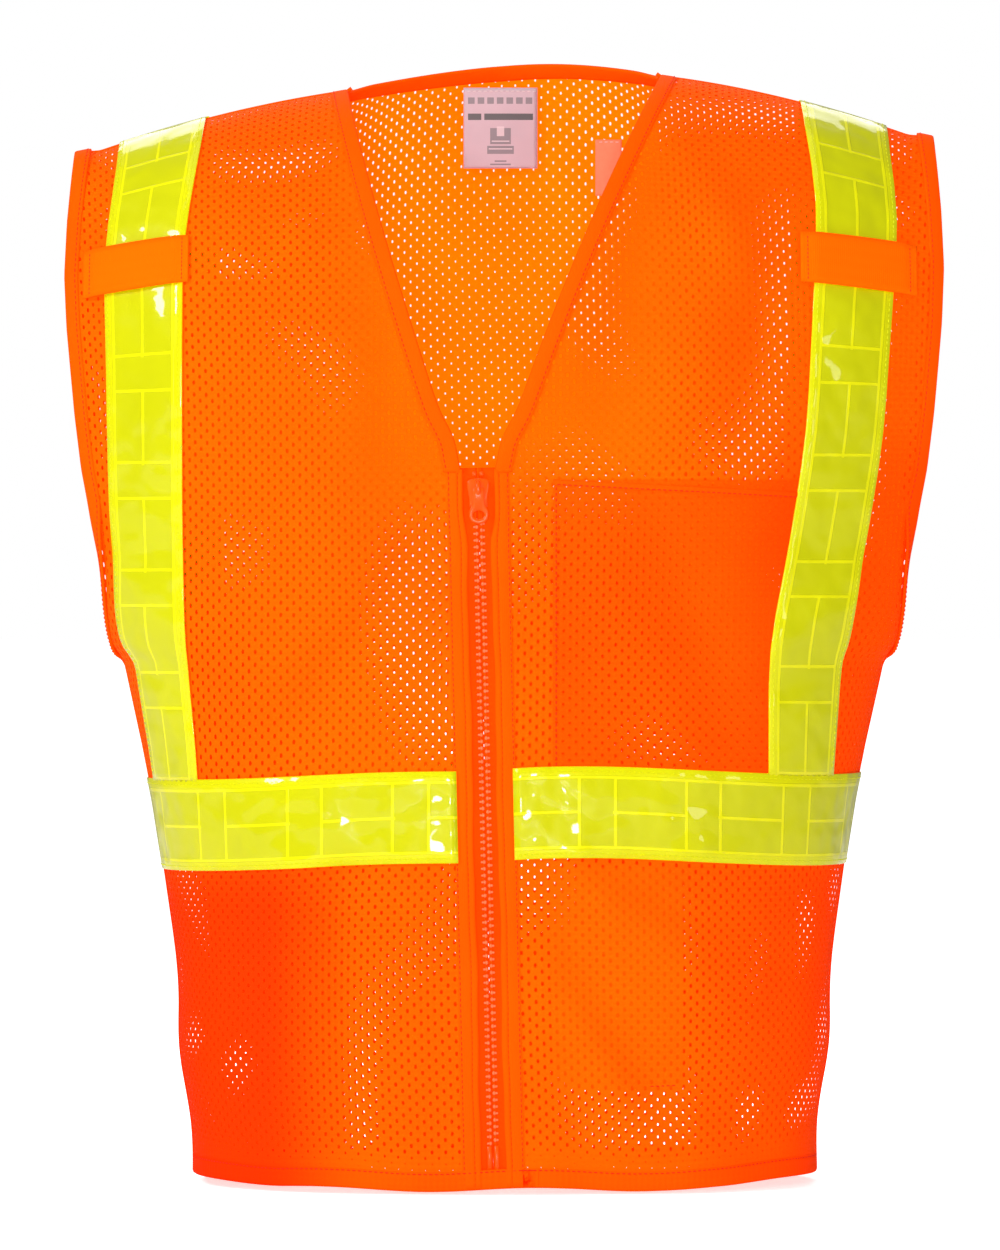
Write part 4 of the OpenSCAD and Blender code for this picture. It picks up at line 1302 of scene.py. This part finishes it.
def slider():
    """Enamelled slider: two waisted plates joined by a wedge, with a raised bridge."""
    z1 = box_mm("slider_body")[1][2]
    low = [(0.4, z1), (4.6, z1 - 0.3), (6.2, z1 - 1.6), (6.1, z1 - 5), (5.2, z1 - 9.5), (4.9, z1 - 13.5),
           (4.4, z1 - 16.2), (0.4, z1 - 17)]
    shape = smooth_outline(low)
    parts = [plate(shape, -3.3, -1.7, 0.5), plate(shape, 1.7, 3.3, 0.5),
             rounded_block(0, 0, z1 - 2.4, (0.85, 4.6, 3.6), 0.2)]
    for side in (-1, 1):
        rail = [(side * 5.55, z1 - 2.2), (side * 4.75, z1 - 9.0), (side * 4.45, z1 - 15.6)]
        for y in (-1.05, 1.05):
            for (xa, za), (xb, zb) in zip(rail[:-1], rail[1:]):
                parts.append(rounded_block((xa + xb) / 2, y, (za + zb) / 2, (0.9, 1.3, za - zb + 0.6), 0.2))
    t = np.linspace(0, np.pi, 13)
    arch = np.stack([np.zeros(13), -3.2 - 3.0 * np.sin(t), z1 - 6.0 + 4.4 * np.cos(t)], 1)
    parts.append(bar(arch, 1.3, 0.75))
    piece("slider_body", merge(*parts), ENAMEL, ("slider_body",), body="slider")


def bar(line, half_x, half_t, sides=10):
    """A rounded bar along a line in the plane of x = 0, given in zip axes."""
    along = np.gradient(line, axis=0)
    along /= np.linalg.norm(along, axis=1, keepdims=True)
    out = np.cross(along, [1.0, 0, 0])
    turn = np.linspace(0, 2 * np.pi, sides, endpoint=False)
    verts = np.stack([line + half_x * math.cos(a) * np.array([1.0, 0, 0]) + half_t * math.sin(a) * out
                      for a in turn], 1)
    count = len(line)
    faces = [(j * sides + i, j * sides + (i + 1) % sides, (j + 1) * sides + (i + 1) % sides, (j + 1) * sides + i)
             for j in range(count - 1) for i in range(sides)]
    faces += [tuple(reversed(range(sides))), tuple((count - 1) * sides + i for i in range(sides))]
    return on_zip(verts.reshape(-1, 3)), faces, np.zeros((count * sides, 2))


def pull():
    """Pull tab: an eye round the bridge, a waist, and a wide ring with an oval hole."""
    low, high = box_mm("pull_tab")
    top, end = high[2] - 0.6, low[2]
    y = -5.2
    half = [(0.3, top), (2.6, top - 0.4), (3.2, top - 2.4), (3.3, top - 5.0), (3.0, top - 8.0), (3.5, top - 10.5),
            (5.0, top - 12.6), (5.5, end + 5.0), (4.8, end + 2.2), (2.8, end + 0.5), (0.3, end)]
    shape = smooth_outline(half, 64)
    ring_z = end + 5.0
    around = np.arctan2(shape[:, 1] - ring_z, shape[:, 0])
    hole = np.stack([3.2 * np.cos(around), ring_z + 2.4 * np.sin(around)], 1)
    body = plate(shape, y - 0.8, y + 0.8, 0.35, hole)
    piece("pull_tab", body, ENAMEL, ("pull_tab",), body="pull_tab")


def end_fittings():
    """Top stops, insertion pin and retainer box as moulded blocks."""
    z_stop = (box_mm("right_top_stop")[0][2] + box_mm("right_top_stop")[1][2]) / 2
    for side in (RIGHT, LEFT):
        name = SIDE_NAME[side] + "_top_stop"
        piece(name, rounded_block(side * 2.0, 0, z_stop, (2.5, 2.8, 2.6), 0.5), ENAMEL,
              (name,), body=SIDE_NAME[side] + "_front")
    low, high = box_mm("insertion_pin")
    data = rounded_block(-2.0, 0, (low[2] + high[2]) / 2, (2.5, 2.4, high[2] - low[2]), 0.4)
    piece("insertion_pin", data, ENAMEL, ("insertion_pin",), body="right_front")
    low, high = box_mm("retainer_box")
    z0 = low[2]
    parts = [rounded_block(0, 2.3, z0 + 6, (6.6, 1.1, 12), 0.35), rounded_block(0, 0.8, z0 + 0.9, (6.6, 4.0, 1.8), 0.5),
             rounded_block(2.0, 0.2, (z0 + high[2]) / 2, (2.5, 3.0, high[2] - z0), 0.45)]
    piece("retainer_box", merge(*parts), ENAMEL, ("retainer_box",), body="left_front")


slider()
pull()
end_fittings()


# ---------------------------------------------------------------- labels
def hanging_label(node, curl, sway, material):
    """Thin label sewn in along its top edge, with a soft curl."""
    low, high = box_mm(node)
    rows, cols = 24, 18
    u, v = np.meshgrid(np.linspace(0, 1, cols), np.linspace(0, 1, rows))
    x = low[0] + (high[0] - low[0]) * u
    z = low[2] + (high[2] - low[2]) * v
    y = low[1] - curl * (1 - v) ** 2 + sway * np.sin(np.pi * u) * (1 - v * 0.6)
    grid = np.stack([x, y, z], -1)
    verts, faces = two_sided(grid - [0, 0.15, 0], grid + [0, 0.15, 0])
    uvs = np.stack([u, v], -1).reshape(-1, 2) / MM
    piece(node, (verts, faces, np.concatenate([uvs, uvs])), material, (node,), body=node)
    top = grid[-2] - [0, 0.2, 0]
    orange_thread["label_" + node] = stitches(top, np.tile([0.0, -1.0, 0.0], (cols, 1)), width=0.4)


hanging_label("size_label", 2.5, -1.6, LABEL)
hanging_label("care_label", 3.0, -1.0, PLAIN_LABEL)


# ---------------------------------------------------------------- stitching pieces
def thread_pieces():
    for side in (RIGHT, LEFT):
        name = SIDE_NAME[side] + "_front_stitching"
        piece(name, merge(*orange_thread[side]), THREAD, side=side, smooth=False)
        piece(name + "_lime", merge(*lime_thread[side]), LIME_THREAD, side=side, smooth=False)
    for node in ("size_label", "care_label"):
        piece(node + "_stitching", orange_thread["label_" + node], LIGHT_THREAD, body=node, smooth=False)
    piece("body_stitching", merge(*orange_thread[0]), THREAD, body="back", smooth=False)
    piece("body_stitching_lime", merge(*lime_thread[0]), LIME_THREAD, body="back", smooth=False)


thread_pieces()


# ---------------------------------------------------------------- stage
def pale_floor():
    """A wide, flat, pale floor that is plain white away from the vest."""
    material, tree, shader = node_material("pale_floor")
    shader.inputs["Base Color"].default_value = (0.93, 0.93, 0.93, 1)
    shader.inputs["Roughness"].default_value = 0.9
    shader.inputs["Emission Color"].default_value = (1, 1, 1, 1)
    x, y, _ = position(tree)
    away = math_node(tree, "SQRT", math_node(tree, "ADD", math_node(tree, "MULTIPLY", x, x),
                                             math_node(tree, "MULTIPLY", y, y)))
    glow = math_node(tree, "ADD", math_node(tree, "MULTIPLY", ramp(tree, away, 0.45, 1.6), 0.5), 0.5)
    rays = add(tree, "ShaderNodeLightPath")
    glow = math_node(tree, "ADD", math_node(tree, "MULTIPLY", rays.outputs["Is Camera Ray"], glow), 0.1)
    tree.links.new(glow, shader.inputs["Emission Strength"])
    half = 30.0
    mesh = bpy.data.meshes.new("floor")
    mesh.from_pydata([(-half, -half, 0), (half, -half, 0), (half, half, 0), (-half, half, 0)], [], [(0, 1, 2, 3)])
    mesh.materials.append(material)
    floor = bpy.data.objects.new("floor", mesh)
    floor.location.z = -0.0015
    bpy.context.scene.collection.objects.link(floor)


def white_world(strength):
    """Even light of a given strength that looks plain white to the camera."""
    world = bpy.data.worlds.new("studio")
    world.use_nodes = True
    tree = world.node_tree
    sky = tree.nodes["Background"]
    sky.inputs["Color"].default_value = (1, 1, 1, 1)
    rays = tree.nodes.new("ShaderNodeLightPath")
    mix = math_node(tree, "ADD", math_node(tree, "MULTIPLY", rays.outputs["Is Camera Ray"], 1.0 - strength), strength)
    tree.links.new(mix, sky.inputs["Strength"])
    bpy.context.scene.world = world


def stage():
    """Pale floor, soft lights and a long lens."""
    scene = bpy.context.scene
    pale_floor()
    white_world(0.24)

    def light(name, place_at, target, size, energy):
        data = bpy.data.lights.new(name, "AREA")
        data.shape = "RECTANGLE"
        data.size, data.size_y = size
        data.energy = energy
        lamp = bpy.data.objects.new(name, data)
        lamp.location = place_at
        direction = np.array(target) - np.array(place_at)
        from mathutils import Vector
        lamp.rotation_euler = Vector(direction).to_track_quat("-Z", "Y").to_euler()
        scene.collection.objects.link(lamp)

    light("front", (-0.15, -3.4, 0.55), (0, 0, 0.35), (0.7, 0.6), 78)
    light("key", (-2.3, -1.5, 2.0), (0, 0, 0.35), (0.6, 0.9), 58)
    light("fill", (2.2, -2.4, 0.6), (0, 0, 0.3), (0.5, 0.8), 9)
    light("top", (0.0, -0.2, 2.4), (0, 0, 0.3), (1.8, 1.4), 8)
    light("back", (0.0, 1.4, 1.6), (0, 0.3, 0.3), (2.0, 1.0), 24)
    scene.view_settings.view_transform = "Standard"

    camera = bpy.data.cameras.new("camera")
    camera.lens = 306
    camera.sensor_width = 36
    eye = bpy.data.objects.new("camera", camera)
    frame_height = 0.705
    distance = frame_height / (camera.sensor_width / camera.lens)
    tilt = math.radians(0.5)
    target = np.array([-0.0023, 0.0, frame_height / 2 - 0.0405])
    eye.location = target + np.array([0, -math.cos(tilt), math.sin(tilt)]) * distance
    eye.rotation_euler = (math.pi / 2 - tilt, 0, 0)
    scene.collection.objects.link(eye)
    scene.camera = eye


stage()
